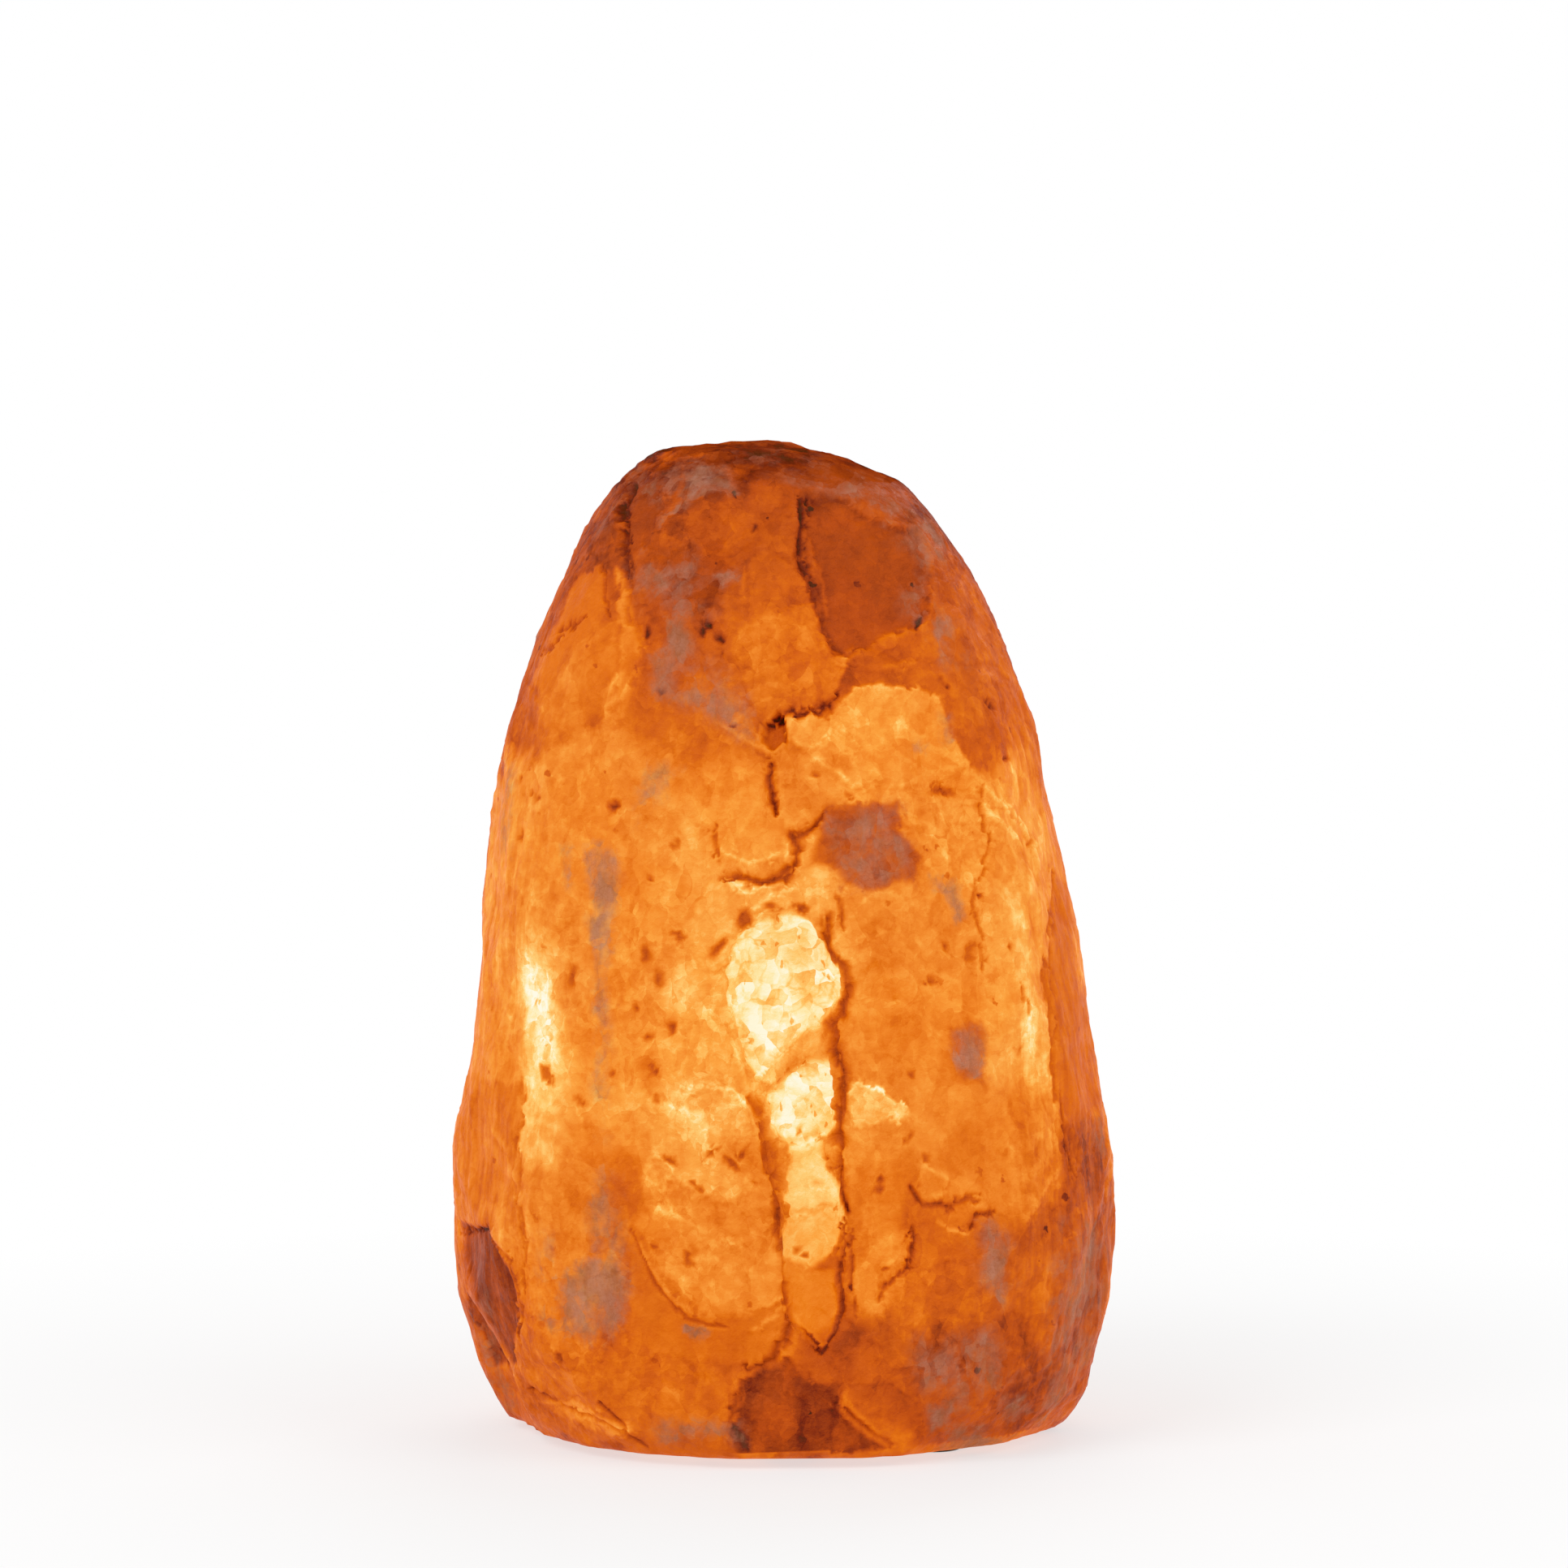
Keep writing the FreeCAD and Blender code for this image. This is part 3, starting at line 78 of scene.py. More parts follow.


# ---- features of the block's front face
# Places are in the front view's drawing units: 1 unit is 0.18 mm, x to the right from 966 at the middle,
# y down from 1752 at the sawn face. Each outline was drawn. The levels were set and then evened
# against the photo's mean brightness inside the same outline.
# name: glow from 0 to 1, softness of the edge, corners
GLOW = rows("""
left wide: 0.68 30 578,950 720,930 900,960 900,1420 640,1440 580,1330 600,1050
right wide: 0.68 30 1150,1000 1290,1000 1330,1120 1300,1340 1180,1340 1150,1150
low wide: 0.44 30 640,1570 1000,1500 1330,1500 1345,1760 650,1740
top band: 0.32 10 728,677 734,634 780,569 872,550 926,544 996,558 1067,579 1121,606 1143,639 1094,634 1023,606
 958,590 926,590 872,606 839,650 796,671 764,693
crown spot: 0.42 5 810,563 834,555 872,551 880,555 856,570 818,573
crown sliver: 0.41 3 847,578 849,606 829,642 818,649 826,620 839,596
crown facet: 0.36 2 937,575 980,582 997,570 1029,571 1067,578 1105,588 1124,605 1117,637 1094,634 1056,619
 1023,608 996,605 967,591
crown tongue: 0.41 4 921,590 958,590 991,606 987,623 948,634 921,617
plateau: 0.26 6 880,555 926,544 980,546 1013,560 996,569 958,574 926,569
crown middle: 0.43 9 894,639 926,625 986,620 987,666 999,715 1007,747 958,763 904,769 894,736 921,704 894,671
crown streaks: 0.53 2 917,696 921,696 922,739 917,741
left brown facet: 0.31 4 765,612 780,590 801,590 818,623 801,666 780,685 769,671
upper middle: 0.4 14 850,753 894,763 926,769 921,812 937,883 894,845 850,812
smooth facet: 0.31 3 996,619 1026,611 1090,646 1128,654 1149,708 1154,748 1133,774 1085,780 1047,804 1028,799
 1018,769 1007,740 1002,681 991,643
smooth facet deep: 0.3 10 1000,650 1040,640 1060,700 1050,790 1020,780 1005,700
under the facet: 0.4 8 1047,806 1085,782 1133,776 1160,800 1180,850 1128,850 1095,839 1069,841 1039,852 1020,830
right cheek: 0.45 6 1148,763 1186,791 1213,856 1218,942 1191,942 1170,888 1159,856 1121,845 1132,812
right shoulder: 0.41 10 1165,672 1195,700 1225,770 1262,840 1262,900 1225,880 1190,800 1158,715
right dark edge: 0.44 6 1191,769 1229,791 1267,856 1283,964 1273,975 1245,931 1218,920 1210,856
left plane: 0.53 4 734,701 748,698 752,742 738,769 704,796 685,834 663,861 654,834 670,796 692,747 715,717
left strip: 0.61 4 762,702 778,705 781,742 787,780 792,812 777,850 759,888 734,910 736,866 761,818 765,753
left plane mid: 0.56 8 704,796 738,769 761,758 761,818 734,877 704,899 674,910 663,861 685,834
left plane low: 0.66 12 672,937 704,907 764,891 788,920 797,969 769,999 726,1021 688,1031 669,996
brown column: 0.34 8 770,688 807,671 850,682 894,693 894,726 872,758 850,753 818,747 801,763 785,747
rough slope: 0.53 5 902,780 926,768 980,747 1008,743 1023,796 1040,810 1029,845 1007,864 980,880 945,883 927,856
 916,823 896,801
slope lip: 0.56 3 1023,799 1041,807 1030,845 1017,856 1013,834 1019,812
shoulder ledge: 0.53 4 839,896 872,883 904,902 948,927 947,964 926,961 899,945 872,953 850,964 837,937
shoulder low: 0.52 8 839,969 894,948 945,969 945,1013 975,1029 975,1050 937,1077 894,1072 872,1040 839,1029
ledge flake: 0.62 3 872,996 899,1015 926,1018 958,1023 975,1037 964,1053 926,1067 894,1056 877,1029
bright shelf: 0.69 3 969,884 996,877 1018,883 1030,873 1051,850 1083,841 1115,848 1153,856 1164,877 1172,910
 1191,942 1186,969 1143,969 1088,975 1051,969 1013,942 980,918 969,904
shelf glow: 0.76 4 1037,871 1056,851 1088,845 1110,861 1121,899 1110,920 1078,931 1051,920 1034,899
shelf lobe: 0.72 3 972,891 988,881 1013,885 1022,899 1019,918 996,918 977,907
shelf dark: 0.6 4 1015,929 1051,934 1045,956 1023,953
shelf foot: 0.68 5 975,923 1007,937 1034,964 1067,975 1137,969 1143,980 1088,988 1034,985 991,958
pocket: 0.42 3 937,891 950,883 966,880 968,910 956,925 948,922 938,909
middle left: 0.69 25 780,1000 900,920 950,960 950,1080 900,1150 880,1250 800,1300 760,1200 770,1080
middle glow: 0.77 25 850,1110 930,1095 920,1250 930,1400 880,1440 810,1420 820,1250
middle flake: 0.82 3 829,1349 872,1335 899,1340 919,1366 918,1386 894,1403 850,1386 829,1370
flake under: 0.72 4 807,1414 850,1403 894,1414 926,1435 937,1468 894,1479 850,1462 818,1451
left leaf: 0.68 3 791,1435 807,1424 829,1441 818,1468 839,1500 818,1511 793,1479
above the split: 0.74 6 894,1099 937,1105 969,1094 1007,1061 1018,1083 1023,1115 1013,1137 980,1121 948,1121
 926,1148 899,1126
split brow: 0.75 3 945,1110 980,1083 1007,1088 1002,1110 980,1114 958,1118
right middle: 0.6 20 1050,1110 1180,1130 1215,1200 1200,1330 1120,1380 1060,1340 1050,1230
right flake: 0.81 3 1045,1333 1083,1340 1121,1365 1121,1376 1088,1386 1051,1386
right mauve: 0.42 8 1170,1262 1210,1257 1216,1338 1186,1340 1170,1300
right upper: 0.7 20 1140,990 1260,930 1290,1060 1290,1120 1220,1150 1150,1060
right sweep: 0.67 6 1180,937 1213,953 1251,996 1289,1040 1297,1083 1267,1094 1235,1061 1197,1013 1170,985
right sweep core: 0.66 4 1191,969 1224,985 1256,1029 1245,1045 1213,1013 1189,991
brown patch: 0.34 6 1018,992 1110,991 1113,1029 1137,1056 1132,1082 1088,1098 1041,1096 1030,1072 997,1056
 1008,1018
patch foot: 0.61 3 1037,1105 1067,1099 1088,1100 1110,1096 1121,1115 1088,1148 1056,1159 1034,1132
split top: 0.91 4 905,1160 940,1125 977,1122 997,1132 1009,1170 1036,1202 1037,1222 1016,1262 990,1270 966,1297
 935,1330 917,1300 899,1245 888,1205
split top core: 0.94 8 925,1200 985,1180 1010,1220 985,1262 940,1300 915,1265
split middle: 0.94 4 945,1350 972,1318 990,1303 1021,1300 1023,1350 1021,1388 1008,1404 975,1410 952,1388
tongue: 0.87 4 972,1404 1008,1400 1012,1440 1028,1455 1038,1490 975,1500 972,1446
tongue low: 0.77 5 975,1495 1038,1488 1040,1505 1024,1544 995,1563 960,1547 971,1508
tongue end: 0.62 4 962,1558 1029,1562 1029,1615 1024,1636 1010,1657 982,1626 977,1599
split ridge: 0.71 4 925,1345 938,1328 990,1281 1022,1264 1030,1272 996,1296 948,1344 930,1362
left streak: 0.85 20 636,1164 655,1148 680,1202 687,1262 701,1311 709,1359 685,1392 662,1408 640,1397 634,1294
left streak core: 0.98 14 658,1197 673,1202 682,1262 683,1294 667,1316 657,1284
left streak tail: 0.8 12 640,1392 682,1386 689,1435 680,1500 663,1506 644,1457
streak hole: 0.51 3 670,1316 683,1319 683,1337 673,1338
left flank: 0.66 16 625,930 650,930 648,1060 640,1200 635,1330 580,1330 592,1200 604,1050
left bark: 0.46 5 581,1349 605,1349 608,1386 628,1414 633,1457 623,1484 601,1479 585,1435
right streak: 0.81 9 1238,1095 1256,1098 1266,1180 1284,1230 1294,1330 1296,1400 1270,1400 1266,1300 1254,1220
 1246,1160
right streak low: 0.59 12 1210,1340 1300,1360 1306,1440 1270,1500 1230,1500 1205,1420
right flank: 0.48 8 1300,1075 1330,1110 1334,1240 1346,1280 1362,1370 1312,1380 1302,1322 1294,1236 1288,1193
 1296,1138
right edge low: 0.37 10 1312,1380 1370,1380 1378,1530 1355,1660 1340,1720 1290,1740 1300,1600 1306,1480
left edge low: 0.58 8 560,1440 590,1330 640,1340 640,1470 600,1500 566,1505
left dark band: 0.56 5 594,1332 636,1332 640,1400 634,1466 600,1440
notch: 0.24 3 568,1506 600,1512 611,1527 628,1571 637,1619 634,1680 613,1684 581,1625 568,1565
notch rim: 0.64 4 599,1479 628,1484 636,1511 634,1554 617,1538 607,1514
lower left: 0.59 16 640,1440 740,1440 760,1560 720,1680 660,1680 640,1560
lower middle: 0.62 12 785,1506 850,1479 926,1479 958,1511 975,1598 958,1619 894,1622 839,1598 807,1565
lower plane: 0.5 3 780,1506 801,1533 818,1581 850,1608 883,1625 850,1627 818,1608 791,1565
lower facet: 0.5 4 777,1511 801,1565 829,1608 883,1627 958,1622 964,1663 926,1679 850,1679 780,1652 774,1598
foot band: 0.49 10 650,1680 780,1670 900,1690 900,1750 800,1770 700,1730
foot edge: 0.43 5 600,1700 647,1710 693,1734 736,1746 773,1762 800,1783 920,1786 940,1812 720,1800 640,1770
foot ridge: 0.59 3 663,1729 709,1732 785,1755 788,1764 753,1765 704,1749
foot dark: 0.21 5 922,1698 950,1673 975,1673 1007,1709 1053,1706 1034,1738 1067,1771 1088,1788 915,1797 899,1771
foot flank: 0.27 5 950,1679 980,1684 988,1744 986,1790 926,1793 926,1738
foot darkest: 0.19 5 992,1707 1023,1714 1034,1744 1029,1787 991,1793 988,1744
round facet: 0.54 5 925,1610 960,1600 978,1612 980,1660 950,1684 920,1684
lower right: 0.62 14 1045,1450 1120,1470 1130,1530 1120,1600 1080,1640 1045,1600
ridge right: 0.64 4 1134,1435 1159,1441 1197,1457 1218,1484 1164,1479 1137,1495 1132,1468
right pocket: 0.5 4 1137,1500 1159,1484 1202,1484 1218,1495 1197,1533 1170,1549 1143,1527
right spark: 0.62 3 1159,1514 1186,1511 1197,1519 1175,1530
right slab: 0.68 4 1061,1479 1110,1489 1126,1511 1105,1554 1088,1565 1067,1543
lower right middle: 0.47 14 1120,1480 1200,1500 1240,1600 1150,1640 1100,1620
lower right dark: 0.33 14 1110,1650 1260,1620 1300,1700 1270,1770 1150,1790 1080,1740
under tongue: 0.35 12 985,1655 1100,1620 1110,1660 1080,1740 1040,1710 990,1700
""")
# frosted patches: strength, softness, corners
FROST = rows("""
0.74 7 850,579 869,567 896,579 902,605 883,608 856,611 834,636 817,645 831,622 844,606
0.64 4 786,680 800,668 797,680 788,686
0.64 6 806,706 829,704 829,722 808,726
0.69 6 883,706 912,702 912,720 888,726
0.72 8 820,755 842,753 850,791 842,834 850,861 807,864 799,834 812,791
0.51 9 1113,642 1143,636 1167,661 1162,698 1137,696 1126,666
0.41 16 1095,660 1128,660 1150,710 1154,748 1130,770 1110,740 1120,700
0.55 5 1080,640 1096,640 1094,650 1084,650
0.74 6 1152,763 1166,765 1170,788 1158,790
0.64 6 1186,786 1196,800 1198,822 1188,812
0.41 10 1160,745 1185,790 1180,830 1160,820 1150,780
0.39 10 734,644 753,612 785,571 818,574 894,551 958,543 1023,566 1088,585 1132,617 1175,671 1159,650 1115,639
 1034,612 926,574 839,612 785,612 764,617 742,666
0.46 5 1158,880 1170,882 1172,910 1162,916
0.56 5 1122,932 1134,918 1138,924 1128,940
0.58 8 720,1042 747,1042 764,1061 769,1099 755,1170 742,1170 734,1115 723,1083
0.37 10 808,947 843,952 837,968 800,1000 776,1020 790,975
0.6 5 778,1012 790,1012 790,1028 780,1030
0.37 5 692,1046 703,1046 706,1110 694,1090
0.34 9 1019,994 1110,992 1112,1029 1136,1057 1129,1082 1088,1097 1042,1094 1023,1050 1013,1018
0.64 4 1150,1081 1181,1078 1184,1098 1187,1130 1178,1138 1172,1109 1152,1092
0.46 7 1175,1267 1209,1262 1212,1316 1197,1332 1175,1305
0.32 7 1189,1294 1210,1294 1212,1335 1197,1338
0.55 4 1168,1290 1198,1296 1196,1322 1180,1318
0.46 8 614,940 628,940 628,1050 616,1046
0.39 12 734,1403 755,1403 764,1479 780,1533 777,1598 758,1619 736,1598 726,1511
0.57 9 674,1592 704,1565 734,1549 764,1541 772,1592 766,1636 742,1660 704,1654 669,1633
0.32 6 709,1560 736,1554 742,1576 715,1581
0.37 8 663,1516 682,1514 682,1565 670,1592 663,1560
0.6 4 846,1633 877,1637 872,1651 850,1650
0.46 8 803,1749 915,1755 915,1776 815,1774
0.46 10 590,1590 600,1640 640,1730 620,1745 585,1660
0.61 8 1203,1506 1228,1501 1245,1543 1242,1592 1225,1599 1205,1560
0.32 14 1195,1520 1230,1500 1260,1580 1230,1610 1200,1580
0.64 4 1352,1372 1362,1372 1364,1422 1356,1422
0.55 4 1343,1477 1350,1477 1350,1508 1344,1508
0.6 5 1334,1529 1342,1529 1343,1581 1334,1581
0.6 5 1308,1664 1318,1664 1318,1700 1308,1697
0.74 7 1142,1737 1173,1733 1170,1757 1146,1761
0.74 7 1173,1762 1210,1757 1215,1783 1178,1786
0.69 7 1225,1724 1262,1716 1272,1738 1240,1748
0.37 16 1130,1650 1220,1640 1260,1700 1180,1740 1120,1700
0.41 12 1310,1500 1370,1520 1350,1660 1310,1740 1270,1770 1290,1640
0.39 14 842,801 883,818 926,856 938,893 937,915 904,902 866,877 839,866
0.35 14 769,693 850,682 894,726 872,758 818,753 785,747
0.6 8 723,1132 748,1132 746,1192 748,1257 738,1273 731,1219
0.42 10 734,1273 748,1267 750,1386 736,1403
0.74 4 1221,1533 1230,1535 1237,1573 1226,1573
0.23 16 1327,1370 1359,1386 1370,1479 1348,1511 1327,1457
""")
# cracks and ledges: shade, width, depth in mm, line
CRACKS = rows("""
0.22 4 0.8 1042,1500 1036,1560 1036,1615 1028,1640 1012,1664 984,1634 974,1604
0.25 6 1.2 988,616 991,646 985,681 995,708 1004,745 1018,777 1027,800 1043,808
0.15 5 0.8 776,600 768,622 773,681 777,702 777,748 789,801
0.16 3 0.6 746,700 744,722 750,756
0.2 3 0.7 725,758 690,788 669,807
0.32 5 1.3 940,888 966,882 991,877 1007,874 1034,856
0.38 5 1.8 951,937 950,965 953,1004
0.22 3 0.7 877,1014 878,1040 880,1062
0.34 6 1.3 891,1089 910,1081 934,1091 957,1082 972,1064 983,1046 975,1030 997,1020 1012,1000
0.32 9 1.7 1020,1130 1017,1164 1038,1196 1046,1221 1040,1250 1027,1262 1027,1279 1040,1322 1036,1368 1031,1391
 1038,1413 1030,1452 1046,1490
0.2 3 0.8 1035,1107 1038,1144
0.22 7 1.1 920,1354 938,1382 950,1422 962,1468 958,1510 968,1560 976,1620 950,1676 918,1686
0.2 4 0.7 1053,1514 1050,1560 1056,1618
0.22 4 0.8 1127,1514 1121,1550 1100,1585 1087,1605
0.24 5 0.9 1124,1465 1139,1490 1163,1483 1206,1474
0.24 5 0.9 1197,1514 1206,1495 1226,1489
0.14 3 0.6 1298,1075 1296,1138 1288,1193 1293,1236 1300,1322 1312,1390 1322,1450
0.14 3 0.6 778,1514 806,1581 846,1621 900,1636
0.16 3 0.7 647,1710 693,1734 736,1746 773,1762 800,1783
0.22 3 0.7 739,1725 776,1759
0.16 4 0.6 920,1697 899,1749 920,1785
0.2 4 0.8 1047,1740 1070,1765 1099,1786
0.16 3 0.6 562,1518 600,1512 625,1545 640,1598 636,1640
0.12 3 0.5 640,1330 640,1440 645,1520 650,1600
0.2 3 0.5 1259,1213 1264,1253
0.16 3 0.6 1205,960 1215,1040 1200,1120 1215,1200
""")
# painted highlights along ridges: light, width, line
RIDGES = rows("""
0.1 2.5 1030,873 1051,851 1083,841 1115,848 1153,854
0.08 2.5 779,742 786,780 791,812
0.09 2 777,834 764,856 736,888
0.08 2 770,820 755,850 743,883
0.07 3 872,883 902,900 949,927 947,961
0.08 3 872,1029 894,1053 926,1067 964,1050 975,1031
0.08 3 1018,763 1026,799 1041,808 1029,845
0.06 3 972,910 996,919 1018,918 1026,899
0.07 3 980,920 1013,942 1051,969 1088,976 1132,969
0.09 2.5 1191,942 1224,980 1262,1029 1289,1056
0.08 2.5 1197,969 1229,1013 1262,1050
0.06 2.5 949,927 952,942 948,985
0.06 2 1113,996 1114,1029 1137,1056
0.1 3 894,1084 905,1097 937,1098 969,1084
0.06 2.5 926,1126 948,1111 980,1084
0.06 3 1004,688 1014,736 1023,769
0.07 2 1083,819 1110,823 1132,818
0.08 3 829,1351 872,1336 899,1342 919,1366
0.09 3 1045,1333 1083,1342 1121,1366
0.06 3 777,1508 801,1560 829,1603 872,1622
0.08 2 923,1615 948,1604 972,1593
0.08 2 921,1644 945,1627 969,1610
0.05 2 866,1535 894,1532 921,1530
0.05 2 807,1489 829,1496 850,1511
0.08 3 663,1728 709,1732 764,1754 785,1763
0.09 3 600,1511 617,1543 634,1592 638,1641
0.08 2.5 1032,1565 1032,1598 1026,1638 1013,1654
0.07 2.5 980,1622 996,1644 1013,1654
0.06 3 1134,1435 1170,1457 1138,1500
0.12 2.5 1156,1507 1175,1511 1199,1520
0.06 3 1305,1359 1327,1403 1332,1435 1316,1457
0.06 2.5 1262,1511 1278,1479 1305,1435
0.07 3 607,1386 628,1414 634,1457
0.06 2.5 1034,1714 1061,1744 1088,1782
0.06 2.5 1088,1565 1110,1549 1126,1511
0.08 2 1310,1522 1327,1523
0.07 3 791,1435 807,1425 829,1442 820,1468 840,1511
0.05 2.5 850,1479 872,1470 894,1484
0.06 2.5 1023,1435 1029,1457 1039,1489 1037,1511
""")
# pits: length, width, turn in degrees, shade, place
PITS = rows("""
22 10 60 0.3 867,772; 12 10 0 0.3 885,785; 18 8 80 0.2 885,804; 20 9 85 0.3 793,782; 9 6 0 0.35 818,855
8 6 90 0.35 928,651; 12 4 0 0.3 900,892; 22 6 75 0.38 1135,765; 6 5 0 0.3 1162,841; 16 14 30 0.34 757,992
6 5 0 0.35 722,971; 13 7 20 0.28 835,1038; 8 6 0 0.25 797,1078; 26 8 -40 0.3 837,1156; 40 11 48 0.32 886,1166
26 12 80 0.26 792,1174; 26 11 85 0.26 812,1207; 26 16 70 0.32 920,1134; 14 10 0 0.28 803,1276
14 8 90 0.28 832,1266; 20 8 -60 0.28 803,1319; 9 8 0 0.25 754,1322; 20 7 65 0.26 782,1239; 30 12 80 0.22 699,1205
6 5 0 0.36 1210,1104; 5 3 60 0.38 1095,1018; 28 12 -10 0.2 1158,972; 10 5 0 0.22 1046,980; 12 6 -20 0.22 1006,956
22 9 -35 0.34 985,1118; 14 8 0 0.28 953,1118; 14 6 -60 0.22 1167,1170; 8 4 0 0.22 1087,1193
16 8 40 0.22 1150,1205; 30 12 85 0.16 1197,1177; 8 5 0 0.3 1124,1326; 9 5 0 0.25 1081,1256; 12 6 90 0.25 1243,1172
12 5 90 0.28 1258,1290; 14 9 30 0.32 1121,1406; 9 8 0 0.3 1136,1428; 22 8 40 0.32 1087,1456; 26 9 55 0.3 848,1548
9 8 0 0.2 810,1540; 5 4 0 0.36 757,1523; 18 8 -60 0.25 690,1676; 10 8 0 0.28 715,1358; 9 9 80 0.28 808,1354
30 8 30 0.24 880,1418; 26 9 -50 0.26 905,1432; 22 8 -40 0.26 826,1432; 18 7 -25 0.26 860,1461
16 8 70 0.26 915,1420; 16 5 75 0.4 994,1545; 10 6 60 0.24 985,1395; 8 5 0 0.2 1013,1425; 14 5 0 0.2 1005,1455
12 5 30 0.3 1025,1440; 10 4 0 0.3 1090,1566; 14 5 20 0.25 1102,1478; 30 7 88 0.3 620,946; 18 5 80 0.2 640,1030
14 5 85 0.25 660,980; 10 4 85 0.25 646,960; 12 5 75 0.28 1240,930; 12 5 80 0.25 1222,868; 20 8 75 0.2 1268,1040
""")

# name of a region above, how far it lies under the face in mm, softness of its edge
SUNK = [("split top", 2.4, 5), ("split middle", 2.6, 5), ("tongue", 1.6, 6), ("tongue low", 1.2, 6),
        ("tongue end", 0.9, 6), ("pocket", 3.0, 4), ("notch", 1.2, 8), ("foot dark", 1.0, 14),
        ("smooth facet", 0.9, 5), ("left brown facet", 0.6, 6), ("bright shelf", -0.7, 5), ("round facet", 0.5, 6)]
SMOOTH_FACES = ["smooth facet", "crown facet", "left plane", "right flank", "notch", "lower facet", "round facet",
                "left brown facet"]
SPLIT = ["split top", "split middle", "tongue", "tongue low", "tongue end"]
HOT = ["split top", "split middle", "left streak core"]


# ---- fields over the block, worked in mm
def hashed(i, j, k, seed):
    """Three numbers from 0 to 1 for each lattice cell, the same each run."""
    out = []
    for s in range(3):
        h = (i * 374761393 + j * 668265263 + k * 2147483647 + (seed * 3 + s) * 1274126177) & 0xFFFFFFFF
        h = ((h ^ (h >> 13)) * 1103515245) & 0xFFFFFFFF
        h = ((h ^ (h >> 16)) * 668265263) & 0xFFFFFFFF
        h = h ^ (h >> 15)
        out.append((h & 0xFFFFFF) / float(0xFFFFFF))
    return np.stack(out, 1)


def noise(p, scale, seed, octaves=1):
    """Smooth value noise, about -1 to 1. scale is the size of a lump."""
    total, size, amp = np.zeros(len(p)), scale, 1.0
    for o in range(octaves):
        q = p / size + 17.3 * o
        c = np.floor(q).astype(np.int64)
        f = q - c
        f = f * f * (3 - 2 * f)
        v = np.zeros(len(p))
        for dx, dy, dz in itertools.product((0, 1), repeat=3):
            h = hashed(c[:, 0] + dx, c[:, 1] + dy, c[:, 2] + dz, seed + 31 * o)[:, 0]
            v += h * np.abs(1 - dx - f[:, 0]) * np.abs(1 - dy - f[:, 1]) * np.abs(1 - dz - f[:, 2])
        total += amp * (2 * v - 1)
        size, amp = size / 2, amp / 2
    return total


def chips(p, size, seed, stretch):
    """Height of a field of broken facets between sharp ridges, 0 to about 1, and a random number for each chip."""
    q = p / np.array([size, size, size * stretch])
    c = np.floor(q).astype(np.int64)
    best, tint = np.full(len(p), 9.0), np.zeros(len(p))
    for dx, dy, dz in itertools.product((-1, 0, 1), repeat=3):
        i, j, k = c[:, 0] + dx, c[:, 1] + dy, c[:, 2] + dz
        h = hashed(i, j, k, seed)
        r = q - (np.stack([i, j, k], 1) + 0.15 + 0.7 * h)
        d = np.zeros(len(p))
        for n in range(3):
            a = hashed(i, j, k, seed + 7 + n) * 2 - 1
            a /= np.linalg.norm(a, axis=1)[:, None] + 1e-6
            d = np.maximum(d, np.abs((a * r).sum(1)))
        d = 0.75 * d + 0.25 * np.linalg.norm(r, axis=1)
        closer = d < best
        best, tint = np.where(closer, d, best), np.where(closer, h[:, 2], tint)
    return best, tint


def smooth(x, a, b):
    """0 at a, 1 at b, eased between."""
    t = np.clip((x - a) / (b - a), 0, 1)
    return t * t * (3 - 2 * t)


def front(p):
    """Drawing units of the front view, of points in metres."""
    f = np.array((AIM - CAMERA).normalized())
    u = np.cross(np.array([1.0, 0, 0]), f)
    d = p - np.array(CAMERA)
    k = LENS / SENSOR * PHOTO / (d @ f)
    return np.stack([PHOTO / 2 + k * d[:, 0], PHOTO / 2 - k * (d @ u)], 1)


def torn_front(p):
    """The same of points in mm, shifted chip by chip, so that what is drawn there has broken edges."""
    _, jump = chips(p + 1.0 * noise(p, 3, 44)[:, None], 5.0, 45, 1.2)
    _, hop = chips(p, 2.4, 46, 1.2)
    across = 4 * noise(p, 7, 40) + 8 * (jump - 0.5) + 4 * (hop - 0.5)
    down = 4 * noise(p, 7, 42) + 7 * (hop - 0.5) + 5 * (np.abs(2 * jump - 1) - 0.5)
    return front(p / MM) + np.stack([across, down], 1)


def to_edge(q, a, b):
    """How far along the edge from a to b the nearest point lies, from 0 to 1, and its distance squared."""
    e, w = b - a, q - a
    t = np.clip((w @ e) / max(e @ e, 1e-9), 0, 1)
    return t, ((w - t[:, None] * e) ** 2).sum(1)


def inside(q, polygon):
    """Signed distance to a polygon's edge, positive inside."""
    c = np.array(polygon)
    best, odd = np.full(len(q), 1e9), np.zeros(len(q), bool)
    for a, b in zip(c, np.roll(c, -1, 0)):
        best = np.minimum(best, to_edge(q, a, b)[1])
        up = (a[1] <= q[:, 1]) & (q[:, 1] < b[1])
        down = (b[1] <= q[:, 1]) & (q[:, 1] < a[1])
        left = (b - a)[0] * (q - a)[:, 1] - (b - a)[1] * (q - a)[:, 0]
        odd ^= (up & (left > 0)) | (down & (left < 0))
    return np.where(odd, 1, -1) * np.sqrt(best)


def from_line(q, line):
    """Distance to a broken line, and how far along it from 0 to 1."""
    c, n = np.array(line), len(line) - 1
    best, along = np.full(len(q), 1e9), np.zeros(len(q))
    for k in range(n):
        t, d = to_edge(q, c[k], c[k + 1])
        d = np.sqrt(d)
        closer = d < best
        best, along = np.where(closer, d, best), np.where(closer, (k + t) / n, along)
    return best, along


def near(q, points, margin):
    """Which of q lie within a margin of the points' box."""
    a = np.array(points)
    lo, hi = a.min(0) - margin, a.max(0) + margin
    return np.flatnonzero(((q > lo) & (q < hi)).all(1))


